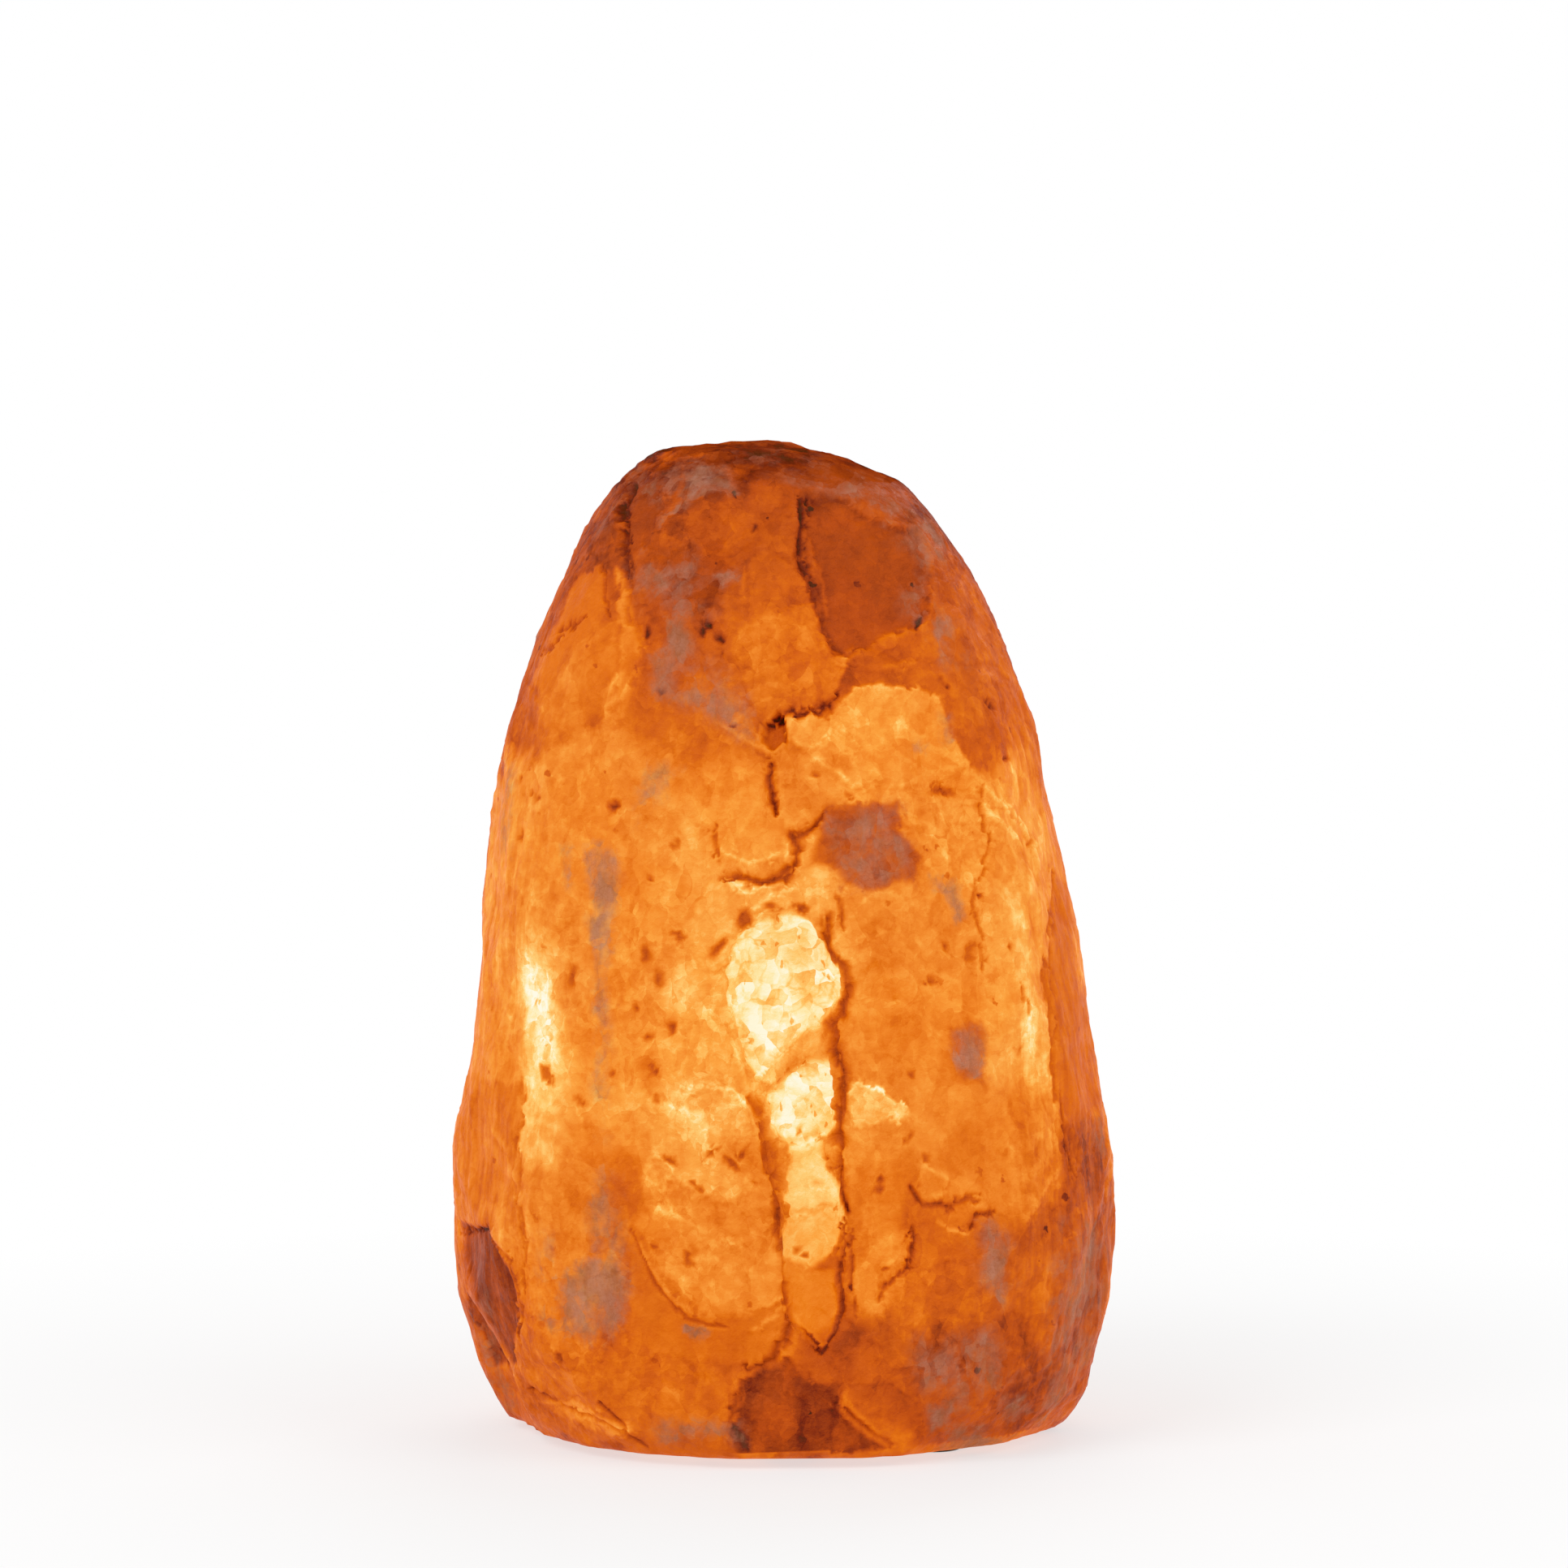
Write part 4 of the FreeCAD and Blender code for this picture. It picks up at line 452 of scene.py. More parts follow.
# ---- the block's mesh
def placed(name, data):
    obj = bpy.data.objects.new(name, data)
    bpy.context.scene.collection.objects.link(obj)
    return obj


def read(mesh, what):
    a = np.zeros(len(mesh.vertices) * 3, np.float32)
    mesh.vertices.foreach_get(what, a)
    return a.reshape(-1, 3).astype(float)


def move_to(mesh, p):
    mesh.vertices.foreach_set("co", (p / MM).astype(np.float32).ravel())
    mesh.update()


def may_move(p, n):
    """Where the block is broken rock, not bore, sawn base or cord slot, and how far it may move there."""
    aside = p[:, 0] - BX * MM
    outer = (np.hypot(aside, p[:, 1]) > ROCK) | (p[:, 2] > ROCK_TOP)
    outer &= ~((n[:, 2] < -0.6) & (p[:, 2] < 4.5))
    slot = smooth(np.abs(aside), 6, 10) + smooth(p[:, 2], 13, 17) + (p[:, 1] < 15)
    return outer, outer * smooth(p[:, 2], 2.6, 8) * np.clip(slot, 0, 1)


def remeshed_block():
    """The block's solid as an even mesh, finer on the front face and finest along what is drawn there."""
    obj = placed("salt_block", frame["nodes"]["salt_crystal"].data.copy())
    r = obj.modifiers.new("even", "REMESH")
    r.mode, r.voxel_size, r.adaptivity = "VOXEL", VOXEL, 0
    s = obj.modifiers.new("ease", "SMOOTH")
    s.factor, s.iterations = 0.5, 3
    graph = bpy.context.evaluated_depsgraph_get()
    mesh = bpy.data.meshes.new_from_object(obj.evaluated_get(graph))
    obj.modifiers.clear()
    obj.data = mesh
    mesh.materials.clear()
    # ridges between the faces wander
    p, n = read(mesh, "co") * MM, read(mesh, "normal")
    drift = np.stack([2.4 * noise(p, 26, 3 + k) + 0.8 * noise(p, 9, 6 + k) for k in range(3)], 1)
    drift -= (drift * n).sum(1)[:, None] * n
    p += drift * may_move(p, n)[1][:, None]
    move_to(mesh, p)
    toward = (CAMERA - AIM).normalized()
    lines = [row[-1] for row in CRACKS + RIDGES]
    lines += [polygon + polygon[:1] for _, _, soft, polygon in GLOW if soft <= SHARP]
    b = bmesh.new()
    b.from_mesh(mesh)
    for finest in (False, True):
        squarely = 0.15 if finest else 0.0
        faces = [f for f in b.faces if f.normal.dot(toward) > squarely and f.calc_center_median().z > 0.003]
        c = np.array([f.calc_center_median() for f in faces])
        keep = np.hypot(c[:, 0] - BX, c[:, 1]) > 0.026
        if finest:
            q, close = torn_front(c * MM), np.zeros(len(c), bool)
            for line in lines:
                k = near(q, line, FINE)
                close[k[from_line(q[k], line)[0] < FINE]] = True
            keep &= close
        edges = {e for f, kept in zip(faces, keep) if kept for e in f.edges}
        bmesh.ops.subdivide_edges(b, edges=list(edges), cuts=1, use_grid_fill=True)
        b.normal_update()
    bmesh.ops.triangulate(b, faces=b.faces)
    b.to_mesh(mesh)
    b.free()
    mesh.shade_smooth()
    return obj


def shape_block(obj):
    """Breaks the block's outer faces into chips and cleavage steps, opens its cracks, and stores how it glows."""
    mesh = obj.data
    p, n = read(mesh, "co") * MM, read(mesh, "normal")
    lo, hi = (np.array(c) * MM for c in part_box("salt_crystal"))
    outer, free = may_move(p, n)
    facing = smooth(n @ np.array((CAMERA - AIM).normalized()), 0.02, 0.30) * outer
    away = 1 - facing
    q = front(p / MM)
    seen = np.flatnonzero(facing > 0)
    rs = torn_front(p)[seen]
    by_name = {name: polygon for name, _, _, polygon in GLOW}

    def weight(polygon, soft):
        """1 inside a region of the front face, 0 outside it."""
        w = np.zeros(len(p))
        k = near(rs, polygon, soft + 2)
        w[seen[k]] = smooth(inside(rs[k], polygon), -soft, soft)
        return w * facing

    # relief, in mm outwards
    even = np.ones(len(p))
    for names, less, soft in ((SMOOTH_FACES, 0.8, 8), (SPLIT, 0.7, 6)):
        for name in names:
            even *= 1 - less * weight(by_name[name], soft)
    rough = np.clip(0.75 + 0.55 * noise(p, 34, 50), 0.3, 1.25) * even
    big, tint_big = chips(p, 17, 60, 1.5)
    mid, tint_mid = chips(p + 1.2 * noise(p, 5, 61)[:, None], 7.0, 62, 1.35)
    low, tint_low = chips(p, 3.2, 63, 1.2)
    scoop = smooth(noise(p, 22, 64), -0.3, 0.3)
    relief = rough * ((2 * scoop - 1) * 1.5 * (big - 0.45) - 0.75 * (mid - 0.45) - 0.32 * (low - 0.45)
                      + 0.16 * noise(p, 1.6, 65))
    steps = 3.5 * noise(p * [1, 1, 0.8], 24, 68, 2)
    ledge = steps - np.floor(steps)
    relief += 0.35 * (ledge - 0.5) * even * rough
    # fibres run down both sides of the front face, and here and there behind
    flanks = np.maximum(smooth(q[:, 0], 700, 640), smooth(q[:, 0], 1215, 1270))
    behind = smooth(noise(p * [1, 1, 0.5], 30, 66), -0.2, 0.5)
    streaky = np.clip(facing * flanks + away * behind, 0, 1) * smooth(p[:, 2], 190, 160)
    relief += streaky * 0.45 * noise(p * [1, 1, 0.13], 2.6, 67, 2)
    warped = p + 3.0 * noise(p, 11, 77)[:, None] + 1.2 * noise(p, 4, 79)[:, None]
    slab, tint_slab = chips(warped, 30, 78, 1.3)
    relief += away * 1.5 * (slab - 0.5) * smooth(p[:, 2], 3, 12)
    for name, depth, soft in SUNK:
        relief -= depth * weight(by_name[name], soft)
    shade, bright = np.zeros(len(p)), np.zeros(len(p))

    def sink(k, cut, dark, depth):
        """Darkens points of the front face and sets them back."""
        cut = cut * facing[k]
        shade[k] = np.maximum(shade[k], dark * cut)
        relief[k] -= depth * cut

    def beside(line, width, a, b):
        """Points of the front face near a line, how far off they are, and a fade towards its ends."""
        k = near(rs, line, 5 * width)
        d, along = from_line(rs[k], line)
        return seen[k], d, smooth(along, -0.02, a) * smooth(along, 1.02, b)

    for dark, width, depth, line in CRACKS:
        k, d, ends = beside(line, width, 0.08, 0.9)
        wide = width * (0.9 + 0.3 * noise(p[k], 4, 70)) * (0.5 + 0.5 * ends)
        sink(k, np.exp(-(d / np.maximum(wide, 1)) ** 2), dark, depth)
    # painted highlights along the ridges, which also rise a little
    for light, width, line in RIDGES:
        width = max(width, 3.2)
        k, d, ends = beside(line, width, 0.15, 0.85)
        rise = np.exp(-(d / width) ** 2) * ends * facing[k]
        bright[k] = np.maximum(bright[k], 1.3 * light * rise)
        relief[k] += 0.35 * rise
    for length, width, turn, dark, place in PITS:
        k = near(rs, place, length)
        e = rs[k] - place[0]
        c, s = math.cos(math.radians(turn)), math.sin(math.radians(turn))
        u, v = e[:, 0] * c - e[:, 1] * s, e[:, 0] * s + e[:, 1] * c
        sink(seen[k], np.exp(-((u / (0.5 * length)) ** 2 + (v / (0.5 * width)) ** 2) ** 1.5), dark, 0.7)
    # the other sides have cracks of their own
    line = np.exp(-(np.abs(noise(p * [1, 1, 0.6], 30, 73) + 0.10 * noise(p, 7, 75)) / 0.055) ** 2)
    line = line * smooth(noise(p, 19, 74), 0.0, 0.5) * smooth(noise(p, 8, 76), -0.7, 0.3) * away
    relief -= 1.0 * line
    shade = np.maximum(shade, 0.22 * line)
    p = np.clip(p + n * (relief * free)[:, None], lo, hi)
    move_to(mesh, p)

    # glow, from how near the lamp is, then what is drawn on the front, then painted shading of the relief
    edges = np.zeros(len(mesh.edges) * 2, np.int32)
    mesh.edges.foreach_get("vertices", edges)
    e = edges.reshape(-1, 2)
    count = np.bincount(edges, minlength=len(p)).astype(float)
    # how far each point lies below its neighbours, for painted shade in hollows and painted light on bumps
    around = relief
    for _ in range(6):
        s = np.bincount(e[:, 0], around[e[:, 1]], len(p)) + np.bincount(e[:, 1], around[e[:, 0]], len(p))
        around = 0.5 * around + 0.5 * s / np.maximum(count, 1)
    hollow_shade = around - relief
    # painted shading: how far the relief turns each face towards one fixed side
    tilt = (read(mesh, "normal") - n) @ np.array(PAINTED_LIGHT_WAY)
    over = 0.9 * np.maximum(np.abs(p[:, 2] - LAMP) - LAMP_HALF, 0)
    from_lamp = np.sqrt((p[:, 0] - BX * MM) ** 2 + p[:, 1] ** 2 + over ** 2)
    glow = 0.97 - DIMMER * (from_lamp - BORE) + 0.08 * noise(p, 45, 80) * (1 - 0.6 * facing)
    glow = glow + 0.05 * noise(p, 18, 81) - 0.13 * smooth(p[:, 2], 120, 170)
    for name, level, soft, polygon in GLOW:
        w = weight(polygon, soft)
        glow = glow * (1 - w) + level * w
    hot = np.maximum.reduce([weight(by_name[name], 4) for name in HOT])
    patchy = 0.07 * (tint_big - 0.5) * even
    patchy += (0.06 * (tint_mid - 0.5) + 0.03 * (tint_low - 0.5)) * (0.3 + 0.7 * even) + 0.02 * noise(p, 4, 82, 2)
    patchy += 0.035 * (ledge - 0.5) * even
    patchy += away * (0.20 * (tint_slab - 0.45) + 0.08 * (slab - 0.5))
    glow += patchy * (1 - 0.45 * hot)
    # painted shading of the relief: lighter towards one fixed side, painted shade in hollows, painted light on
    # bumps
    glow += np.clip(0.11 * tilt, -0.07, 0.06) - np.clip(0.10 * hollow_shade, -0.05, 0.12)
    # the ridges' painted highlights, and painted shade on faces that look up near the top
    glow += bright - 0.10 * smooth(n[:, 2], 0.35, 0.9) * smooth(p[:, 2], 170, 195)
    glow -= shade * (0.6 + 0.8 * glow)
    frost = np.zeros(len(p))
    for strength, soft, polygon in FROST:
        frost = np.maximum(frost, 1.18 * strength * weight(polygon, 1.6 * soft + 4))
    other = noise(p * [1, 1, 0.7], 20, 90) + 0.35 * noise(p, 6, 91)
    other = smooth(other + 0.25 * smooth(p[:, 2], 60, 15) + 0.2 * smooth(p[:, 2], 150, 200), 0.45, 1.0)
    # faces that look up get less frost: painted shading against the studio light on their tops
    frost = np.maximum(frost, 0.62 * other * away) * (1 - 0.5 * smooth(n[:, 2], 0.62, 0.92))
    for name, values in (("glow", glow), ("frost", frost), ("hot", hot), ("streak", streaky),
                         ("rough", np.clip(rough * (1 - 0.5 * frost), 0.15, 1.2) * free)):
        mesh.attributes.new(name, "FLOAT", "POINT").data.foreach_set("value", values.astype(np.float32))


# ---- materials
def lin(r, g, b):
    """A shader's linear colour for one of 0 to 255."""
    return tuple(c / 255 / 12.92 if c <= 10 else ((c / 255 + 0.055) / 1.055) ** 2.4 for c in (r, g, b)) + (1.0,)


class Tree:
    """The nodes of a material or the world, wired by short calls."""
    NAMES = {"base": "Base Color", "rough": "Roughness", "metal": "Metallic", "ior": "IOR", "normal": "Normal",
             "transmission": "Transmission Weight", "glow": "Emission Color", "strength": "Emission Strength",
             "specular": "Specular IOR Level", "colour": "Color", "level": "Strength"}

    def __init__(self, owner):
        owner.use_nodes = True
        self.owner, self.t = owner, owner.node_tree
        self.shader = next(x for x in self.t.nodes if x.type in ("BSDF_PRINCIPLED", "BACKGROUND"))

    def set(self, **values):
        for k, v in values.items():
            self.put(self.shader.inputs[self.NAMES[k]], v)
        return self.owner

    def put(self, socket, v):
        if isinstance(v, bpy.types.NodeSocket):
            self.t.links.new(v, socket)
        else:
            socket.default_value = v

    def node(self, kind, inputs=None, **props):
        x = self.t.nodes.new("ShaderNode" + kind)
        for k, v in props.items():
            setattr(x, k, v)
        for k, v in (inputs or {}).items():
            self.put(x.inputs[k], v)
        return x

    def place(self, scale=(1, 1, 1), turn=(0, 0, 0)):
        c = self.node("TexCoord").outputs["Object"]
        return self.node("Mapping", {"Vector": c, "Scale": scale, "Rotation": turn}).outputs[0]

    def math(self, op, *inputs, clamp=False):
        return self.node("Math", dict(enumerate(inputs)), operation=op, use_clamp=clamp).outputs[0]

    def times(self, a, b):
        return self.math("MULTIPLY", a, b)

    def add(self, a, b, amount):
        """a, and b times an amount."""
        return self.math("ADD", a, self.times(b, amount))

    def vector(self, op, a, b, out=0):
        return self.node("VectorMath", {0: a, ("Scale" if op == "SCALE" else 1): b}, operation=op).outputs[out]

    def noise(self, where, size, detail=2, rough=0.5, distortion=0.0, out="Fac"):
        return self.node("TexNoise", {"Vector": where, "Scale": 1 / size, "Detail": detail, "Roughness": rough,
                                      "Distortion": distortion}).outputs[out]

    def cells(self, where, size, feature="F1"):
        return self.node("TexVoronoi", {"Vector": where, "Scale": 1 / size}, feature=feature).outputs

    def bend(self, where, size, by):
        """Coordinates pushed about by noise, so that what is drawn on them is irregular."""
        c = self.vector("SUBTRACT", self.noise(where, size, out="Color"), (0.5, 0.5, 0.5))
        return self.vector("ADD", where, self.vector("SCALE", c, by))

    def sum(self, *parts):
        """Adds fields times amounts; every field is first shifted so that its middle is 0."""
        centred = [self.math("MULTIPLY_ADD", field, amount, -0.5 * amount) for field, amount in parts]
        total = centred[0]
        for more in centred[1:]:
            total = self.math("ADD", total, more)
        return total

    def facets(self, where, size):
        """Small broken faces: each cell's tilt, and a shade of its own. Both lie between 0 and 1."""
        v = self.cells(where, size)
        d = self.vector("SUBTRACT", where, v["Position"])
        c = self.vector("SUBTRACT", v["Color"], (0.5, 0.5, 0.5))
        lean = self.math("MULTIPLY_ADD", self.vector("DOT_PRODUCT", d, c, "Value"), 1.6 / size, 0.5, clamp=True)
        return lean, self.node("SeparateColor", {"Color": v["Color"]}).outputs[0]

    def ledges(self, where, size, count):
        """A field that rises slowly and drops sharply, like the edges of split layers."""
        return self.math("FRACT", self.times(self.noise(where, size, 3, 0.45), count))

    def scale(self, v, a, b, c=0.0, d=1.0, ease="LINEAR"):
        """v from a..b to c..d, clamped."""
        ends = {"Value": v, "From Min": a, "From Max": b, "To Min": c, "To Max": d}
        return self.node("MapRange", ends, interpolation_type=ease).outputs[0]

    def ease(self, v, a, b):
        return self.scale(v, a, b, ease="SMOOTHSTEP")

    def ramp(self, v, stops):
        x = self.node("ValToRGB", {"Fac": v})
        while len(x.color_ramp.elements) < len(stops):
            x.color_ramp.elements.new(0.5)
        for e, (at, colour) in zip(x.color_ramp.elements, stops):
            e.position, e.color = at, colour
        return x.outputs["Color"]

    def mix(self, fac, a, b):
        return self.node("Mix", {0: fac, 6: a, 7: b}, data_type="RGBA").outputs[2]

    def bump(self, height, depth):
        return self.node("Bump", {"Height": height, "Distance": depth, "Strength": 1.0}).outputs[0]


def material(name):
    return Tree(bpy.data.materials.new(name))


# light through the salt, from the thickest to the thinnest
GLOW_STOPS = [(at, lin(*rgb)) for at, *rgb in (
    (0.00, 60, 18, 4), (0.13, 112, 42, 10), (0.22, 150, 62, 14), (0.33, 189, 81, 16), (0.45, 214, 100, 20),
    (0.55, 231, 119, 32), (0.65, 244, 141, 49), (0.75, 253, 167, 71), (0.85, 255, 205, 116),
    (0.93, 255, 236, 178), (1.00, 255, 250, 228))]


def rock_salt():
    m = material("rock_salt_lit")
    at, tall = m.place(), m.place((1, 1, 0.14))
    glow, frost, hot, streak, rough = (m.node("Attribute", attribute_name=name).outputs["Fac"]
                                       for name in ("glow", "frost", "hot", "streak", "rough"))
    big, big_tint = m.facets(m.bend(m.place((1, 1, 0.7)), 0.007, 0.007), 0.0062)
    mid, mid_tint = m.facets(m.bend(m.place((1, 1, 0.75)), 0.003, 0.0035), 0.0031)
    low, low_tint = m.facets(m.bend(at, 0.0014, 0.0014), 0.0014)
    shelf = m.ledges(m.bend(at, 0.010, 0.008), 0.011, 5)
    shelf_low = m.ledges(m.bend(at, 0.004, 0.004), 0.0050, 4)
    height = m.sum((big, 1.0), (mid, 0.8), (low, 0.5), (shelf, 0.5), (shelf_low, 0.35),
                   (m.noise(at, 0.0020, 5, 0.65), 0.8))
    normal = m.bump(height, 0.0008)
    true = m.node("NewGeometry").outputs["Normal"]
    # painted shading: the bump's tilt towards one fixed side brightens or darkens the glow
    slope = m.vector("DOT_PRODUCT", m.vector("SUBTRACT", normal, true), PAINTED_LIGHT_WAY, "Value")
    # each chip's own tone, and painted shading across it from its lean; the ledges add steps
    flakes = m.sum((big_tint, 0.09), (big, 0.10), (mid_tint, 0.07), (mid, 0.09), (low_tint, 0.05), (low, 0.04),
                   (shelf, 0.06), (shelf_low, 0.05))
    wide = m.sum((m.noise(at, 0.012, 3, 0.5, 0.8), 1.0))
    g = m.add(m.add(glow, slope, 0.05), wide, 0.06)
    g = m.add(g, flakes, m.math("MULTIPLY_ADD", rough, 0.56, 0.12))
    fibre = m.sum((m.noise(m.bend(tall, 0.006, 0.002), 0.0016, 3, 0.6), 1.0), (m.noise(tall, 0.0042), 0.8))
    g = m.add(g, m.times(fibre, streak), 0.25)
    # grains of clay in the salt
    speck = m.ease(m.cells(m.bend(at, 0.0012, 0.0022), 0.0075)["Distance"], 0.13, 0.08)
    g = m.add(g, m.times(speck, m.scale(m.noise(at, 0.020), 0.46, 0.62)), -0.22)
    # veins, shards and slits where the wall to the bore is thin
    vein = m.ease(m.cells(m.bend(at, 0.004, 0.006), 0.0065, "DISTANCE_TO_EDGE")["Distance"], 0.10, 0.0)
    vein = m.times(vein, m.scale(m.noise(at, 0.008), 0.42, 0.58))
    g = m.add(g, m.times(vein, hot), -0.07)
    shards, shard_tint = m.facets(m.bend(m.place(turn=(0.3, 0.5, 0.2)), 0.005, 0.004), 0.0042)
    # the shards' own tones, and painted shading across each from its lean
    g = m.add(g, m.sum((shard_tint, 0.10), (shards, 0.12), (mid_tint, 0.04)), hot)
    slit = m.cells(m.bend(m.place((1, 1, 0.45), (0, 0.7, 0)), 0.0012, 0.0018), 0.0028)["Distance"]
    g = m.add(g, m.times(m.ease(slit, 0.17, 0.10), hot), -0.16)
    # some parts are redder; the studio's light on the surface is taken off the glow again
    light = m.ramp(g, GLOW_STOPS)
    redder = m.times(m.ease(m.noise(at, 0.024, 3), 0.42, 0.62), 0.55)
    light = m.mix(redder, light, m.vector("MULTIPLY", light, (1.0, 0.93, 0.72)))
    light = m.vector("MAXIMUM", m.vector("SUBTRACT", light, (0.088, 0.029, 0.011)), (0, 0, 0))
    # frosted skin
    cloudy = m.sum((m.noise(m.place((1, 1, 0.55)), 0.0065, 5, 0.62, 0.5), 1.5), (m.noise(at, 0.0016, 3), 0.5),
                   (big_tint, 0.35), (mid_tint, 0.30))
    f = m.add(frost, cloudy, m.scale(frost, 0.0, 0.3))
    f = m.times(m.ease(f, 0.04, 1.0), 0.84)
    haze = m.mix(m.noise(at, 0.011, 3), (0.20, 0.048, 0.006, 1), (0.13, 0.030, 0.005, 1))
    blotch = m.scale(m.noise(m.place((1, 1, 0.4)), 0.0035, 5, 0.65), 0.35, 0.65)
    chalk = m.mix(blotch, (0.165, 0.080, 0.050, 1), (0.28, 0.167, 0.130, 1))
    # a face that looks up would mirror the pale studio as a grey sheen, so it has no gloss
    up = m.node("SeparateXYZ", {"Vector": true}).outputs["Z"]
    return m.set(glow=m.mix(m.times(f, 0.96), light, haze), strength=1.0,
                 base=m.mix(f, (0.085, 0.022, 0.004, 1), chalk),
                 rough=m.scale(m.noise(at, 0.004, 3), 0.3, 0.7, 0.34, 0.58), normal=normal,
                 ior=1.54, specular=m.scale(up, 0.5, 0.85, 0.06, 0.0))


# ---- stage
def aim(obj, place, target):
    obj.location = place
    obj.rotation_euler = (target - Vector(place)).to_track_quat("-Z", "Y").to_euler()


def stage():
    bpy.ops.mesh.primitive_plane_add(size=12, location=(0, 3.0, 0))
    floor = bpy.context.object
    floor.name = "floor"
    m = material("floor_white")
    out = next(x for x in m.t.nodes if x.type == "OUTPUT_MATERIAL")
    m.t.nodes.remove(m.shader)
    # near the lamp more of the floor's own paint shows, with the shadow on it
    away = m.node("VectorMath", {0: m.node("NewGeometry").outputs["Position"]}, operation="LENGTH").outputs["Value"]
    path = m.node("LightPath").outputs
    shown = m.math("MAXIMUM", path["Is Camera Ray"],
                   m.math("MAXIMUM", path["Is Glossy Ray"], path["Is Transmission Ray"]))
    paint = m.node("BsdfDiffuse", {"Color": (0.86, 0.86, 0.86, 1)}).outputs[0]
    white = m.node("Emission", {"Color": (1, 1, 1, 1), "Strength": 1.0}).outputs[0]
    both = m.node("MixShader", {0: m.times(shown, m.scale(away, 0.10, 0.34, 0.62, 1.0)), 1: paint, 2: white})
    m.put(out.inputs["Surface"], both.outputs[0])
    floor.data.materials.append(m.owner)

    world = bpy.data.worlds.new("studio")
    bpy.context.scene.world = world
    w = Tree(world)
    path = w.node("LightPath").outputs
    shown = w.math("MAXIMUM", path["Is Camera Ray"], path["Is Transmission Ray"])
    w.set(colour=(1, 1, 1, 1), level=w.scale(shown, 0.0, 1.0, 0.55, 1.0))
    for name, place, size, power in (("key", (-1.3, -1.5, 1.6), 1.4, 26), ("fill", (1.6, -1.0, 1.0), 1.6, 12),
                                     ("rear", (0.4, 1.8, 1.6), 1.4, 16)):
        light = bpy.data.lights.new(name, "AREA")
        light.size, light.energy = size, power
        aim(placed(name, light), place, Vector((0, 0, 0.11)))
    cam = bpy.data.cameras.new("camera")
    cam.sensor_width, cam.lens, cam.clip_end = SENSOR, LENS, 60
    eye = placed("camera", cam)
    aim(eye, CAMERA, AIM)
    bpy.context.scene.camera = eye
    bpy.context.scene.view_settings.view_transform = "Standard"


stage()
block = remeshed_block()
shape_block(block)
block.data.materials.append(rock_salt())
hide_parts("salt_crystal")
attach(block, "crystal")


# ---- finishes of the holder and the lamp
def worn(name, light, dark, rough, along=(1, 1, 1), grain=0.00035, cloud=0.004, share=0.45, full=0.66,
         metal=1.0, less=0.08, more=0.12, bump=0.00003):
    """A finish with cloudy colour, uneven gloss and fine grain; a brushed metal unless told otherwise."""
    m = material(name)
    fine = m.noise(m.place(along), grain, 4, 0.6)
    both = m.add(m.times(fine, share), m.noise(m.place(), cloud, 3), 1 - share)
    return m.set(base=m.ramp(both, [(0.35, light + (1,)), (full, dark + (1,))]), metal=metal,
                 rough=m.scale(fine, 0.3, 0.7, rough - less, rough + more), normal=m.bump(fine, bump))


def speckled(name, light, dark, rough, grain, spread=0.12, metal=0.0, bump=0.00003):
    return worn(name, light, dark, rough, (1, 1, 1), grain, 6 * grain, 0.3, 0.65, metal, spread, spread, bump)


def foot_rubber():
    m = material("foot_rubber")
    at = m.place()
    dust = m.noise(at, 0.004, 4, 0.65)
    return m.set(base=m.ramp(dust, [(0.42, (0.012, 0.012, 0.013, 1)), (0.72, (0.075, 0.068, 0.062, 1))]),
                 rough=m.scale(dust, 0.3, 0.7, 0.62, 0.85),
                 normal=m.bump(m.cells(at, 0.0009, "SMOOTH_F1")["Distance"], 0.00012))


def white_plastic():
    """Yellowed towards the lamp, and dull in places."""
    m = material("white_plastic")
    at = m.place()
    yellowed = m.scale(m.node("SeparateXYZ", {0: at}).outputs[2], 0.030, 0.068)
    base = m.mix(m.times(yellowed, 0.6), (0.80, 0.79, 0.75, 1), (0.80, 0.73, 0.58, 1))
    dull = m.noise(at, 0.006, 4)
    return m.set(base=m.mix(m.scale(dull, 0.45, 0.75, 0, 0.25), base, (0.62, 0.57, 0.48, 1)), ior=1.5,
                 rough=m.scale(dull, 0.3, 0.7, 0.28, 0.46), normal=m.bump(m.noise(at, 0.0011, 3), 0.00004))


def clear_glass():
    m = material("clear_glass")
    at = m.place()
    haze = m.noise(at, 0.012)
    return m.set(base=m.ramp(haze, [(0.3, (1.0, 0.97, 0.90, 1)), (0.7, (1.0, 0.93, 0.80, 1))]),
                 rough=m.scale(haze, 0.3, 0.7, 0.0, 0.05), normal=m.bump(m.noise(at, 0.006, 1), 0.00002),
                 transmission=1.0, ior=1.47, glow=(1.0, 0.62, 0.22, 1), strength=0.10)


def lit_filament():
    m = material("lit_filament")
    hot = m.noise(m.place(), 0.0010)
    return m.set(glow=m.ramp(hot, [(0.3, (1.0, 0.62, 0.25, 1)), (0.7, (1.0, 0.80, 0.48, 1))]), strength=1.6,
                 rough=0.6, base=(0.25, 0.2, 0.15, 1))


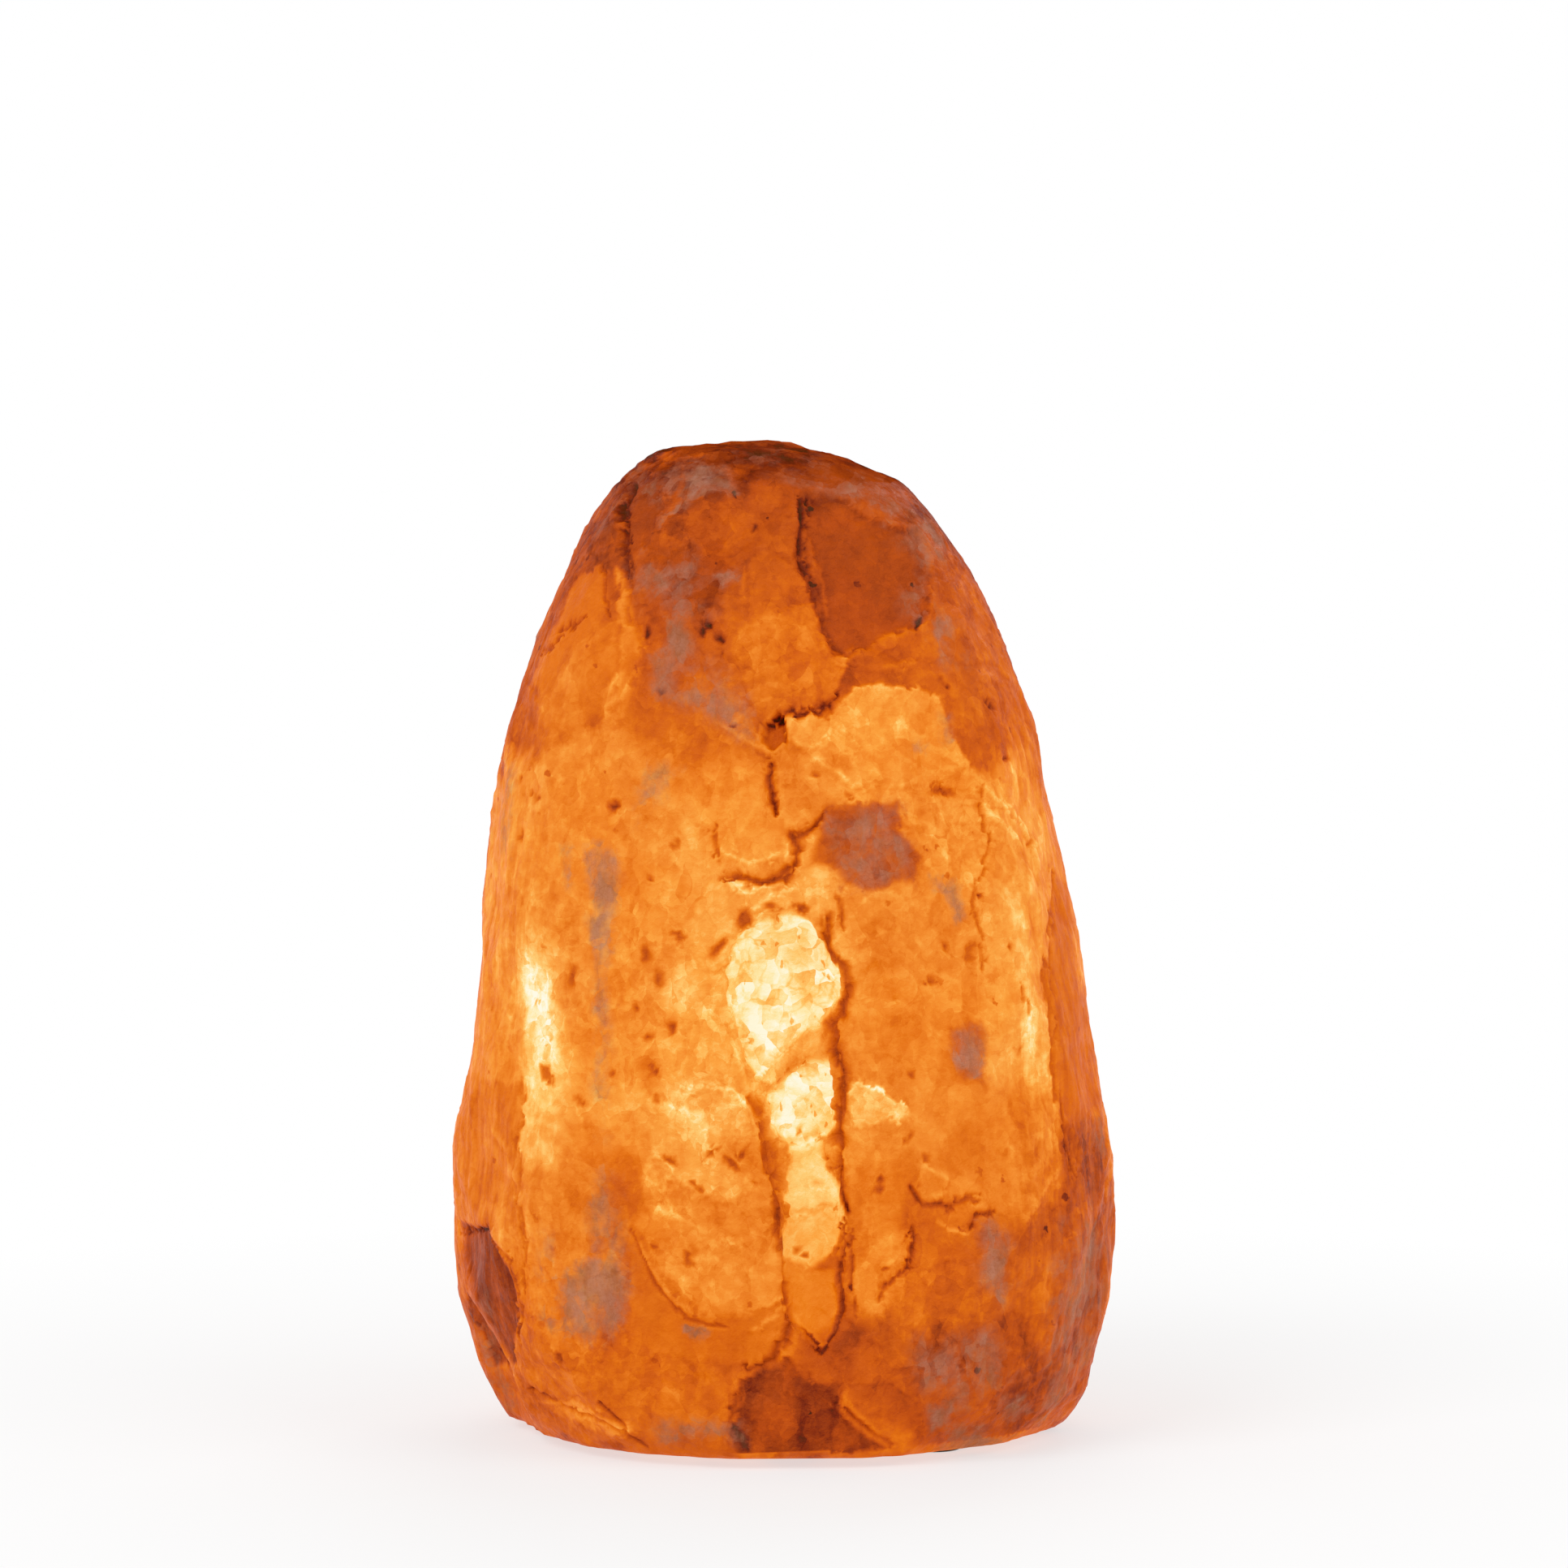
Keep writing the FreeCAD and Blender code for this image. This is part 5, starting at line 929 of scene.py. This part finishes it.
FINISHES = {name: worn(name, *how) for name, *how in (
    ("brass", (0.72, 0.50, 0.20), (0.52, 0.33, 0.11), 0.30, (1, 1, 0.05)),
    ("screw_steel", (0.62, 0.62, 0.63), (0.40, 0.40, 0.42), 0.32),
    ("plated_steel", (0.70, 0.70, 0.71), (0.52, 0.53, 0.55), 0.26, (0.05, 1, 1)),
    ("spring_steel", (0.48, 0.48, 0.50), (0.27, 0.26, 0.29), 0.34, (1, 1, 0.04)),
    ("lamp_cap_metal", (0.72, 0.69, 0.63), (0.50, 0.46, 0.40), 0.30),
    ("lead_wire", (0.58, 0.50, 0.42), (0.36, 0.28, 0.22), 0.34, (1, 1, 0.1)))}
FINISHES.update({name: speckled(name, *how) for name, *how in (
    ("phenolic", (0.62, 0.55, 0.43), (0.50, 0.42, 0.31), 0.55, 0.0012),
    ("solder", (0.62, 0.62, 0.62), (0.42, 0.42, 0.43), 0.34, 0.0008, 0.12, 1.0, 0.00008),
    ("black_glass", (0.010, 0.010, 0.013), (0.030, 0.028, 0.035), 0.16, 0.0010, 0.06))})
FINISHES.update(foot_rubber=foot_rubber(), white_plastic=white_plastic(), clear_glass=clear_glass(),
                filament=lit_filament())

for part in frame["record"]["subparts"]:
    name, finish = part["node"], part["material_slot"]
    if finish in FINISHES:
        obj = frame["nodes"][name]
        if not obj.data.materials:
            obj.data.materials.append(None)
        for s in obj.material_slots:
            s.link = "OBJECT"
            s.material = FINISHES[finish]


# ---- threads and coil
def made(name, verts, faces, body, finish, *nodes):
    """A piece of the holder or the lamp that stands for CAD nodes."""
    mesh = bpy.data.meshes.new(name)
    mesh.from_pydata([tuple(v) for v in verts], [], faces)
    mesh.validate()
    b = bmesh.new()
    b.from_mesh(mesh)
    bmesh.ops.recalc_face_normals(b, faces=b.faces)
    b.to_mesh(mesh)
    b.free()
    mesh.shade_smooth()
    obj = placed(name, mesh)
    mesh.materials.append(FINISHES[finish])
    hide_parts(*nodes)
    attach(obj, body)


def tube(count, ring, closed):
    """Faces between rings of points; closed joins the last ring to the first."""
    faces = []
    for i in range(count):
        a, b = i * ring, ((i + 1) % count if closed else i + 1) * ring
        faces += [(a + k, a + (k + 1) % ring, b + (k + 1) % ring, b + k) for k in range(ring)]
    return faces


def wall(r, start, run, steps):
    """A straight stretch of a lathe's outline, divided finely so that the thread can be pressed into it."""
    return [(r, start + run * k / steps, 1) for k in range(steps + 1)]


def lathe(outline, low, high, depth):
    """A closed skin round the bore's axis, with a round thread from low to high that fades out at both ends.
    outline is (radius, z, 1 where the thread is pressed in)."""
    verts, around = [], 64
    for i in range(around):
        a = 2 * math.pi * i / around
        for r, z, threaded in outline:
            if threaded:
                fade = smooth(z, low, low + 0.6 * PITCH) * smooth(z, high, high - 0.6 * PITCH)
                r = r - float(depth * fade * 0.5 * (1 + math.cos(2 * math.pi * (z / PITCH) - a)))
            verts.append((BX + r * math.cos(a), r * math.sin(a), z))
    return verts, tube(around, len(outline), True)


def threaded_cap():
    lo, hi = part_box("lamp_cap")
    z0, z1, r = lo.z, hi.z, (hi.x - lo.x) / 2
    outline = [(0.0041, z0, 0), (0.0048, z0 + 0.0004, 0), (r - 0.0006, z0 + 0.0024, 0)]
    outline += wall(r, z0 + 0.0029, z1 - z0 - 0.0033, 96)
    outline += [(r - 0.00015, z1 - 0.0001, 0), (r - SHEET, z1, 0), (r - SHEET, z1 - 0.0002, 0)]
    outline += wall(r - SHEET, z1 - 0.0006, -(z1 - z0 - 0.0045), 96) + [(0.0040, z0 + 0.0008, 0)]
    made("lamp_cap_threaded", *lathe(outline, z0 + 0.0031, z1 - 0.0042, 0.00075),
         "lamp", "lamp_cap_metal", "lamp_cap")


def threaded_shell():
    lo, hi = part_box("screw_shell")
    z0, z1, r = lo.z, hi.z, (hi.x - lo.x) / 2
    outline = [(0.0042, z0, 0), (r - 0.0012, z0, 0), (r - 0.0001, z0 + 0.0005, 0)]
    outline += wall(r, z0 + 0.0010, z1 - z0 - 0.0014, 110) + [(r, z1, 0), (r - 0.00035, z1, 0)]
    outline += wall(r - 0.00035, z1 - 0.0004, -(z1 - z0 - 0.0014), 110)
    outline += [(r - 0.0013, z0 + 0.00035, 0), (0.0042, z0 + 0.00035, 0)]
    made("screw_shell_threaded", *lathe(outline, z0 + 0.0035, z1 - 0.0008, 0.00072),
         "holder", "brass", "screw_shell")


def coiled_filament():
    """A bowed coil of fine wire as thick as the CAD's bar."""
    lo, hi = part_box("lamp_filament")
    r = (hi.z - lo.z) / 2
    mid_z, half = (lo.z + hi.z) / 2, (hi.x - lo.x) / 2
    bow = (hi.y - lo.y) - 2 * r
    turns, per, wire, ring = 34, 12, 0.00011, 6
    n = turns * per
    up = Vector((0, 0, 1))
    line = []
    for k in range(n + 1):
        u = -1 + 2 * k / n
        a = 2 * math.pi * k / per
        c = Vector((BX + u * (half - 0.0001), hi.y - r - bow * (1 - u * u), mid_z))
        slope = Vector((half, 2 * u * bow, 0)).normalized()
        side = Vector((-slope.y, slope.x, 0))
        line.append(c + (r - wire) * (side * math.cos(a) + up * math.sin(a)))
    verts = []
    for k, point in enumerate(line):
        t = (line[min(k + 1, n)] - line[max(k - 1, 0)]).normalized()
        s = t.cross(up).normalized()
        v = s.cross(t)
        for j in range(ring):
            a = 2 * math.pi * j / ring
            verts.append(point + wire * (s * math.cos(a) + v * math.sin(a)))
    faces = tube(n, ring, False) + [tuple(range(ring)), tuple(n * ring + j for j in reversed(range(ring)))]
    made("filament_coil", verts, faces, "lamp", "filament", "lamp_filament")


threaded_cap()
threaded_shell()
coiled_filament()
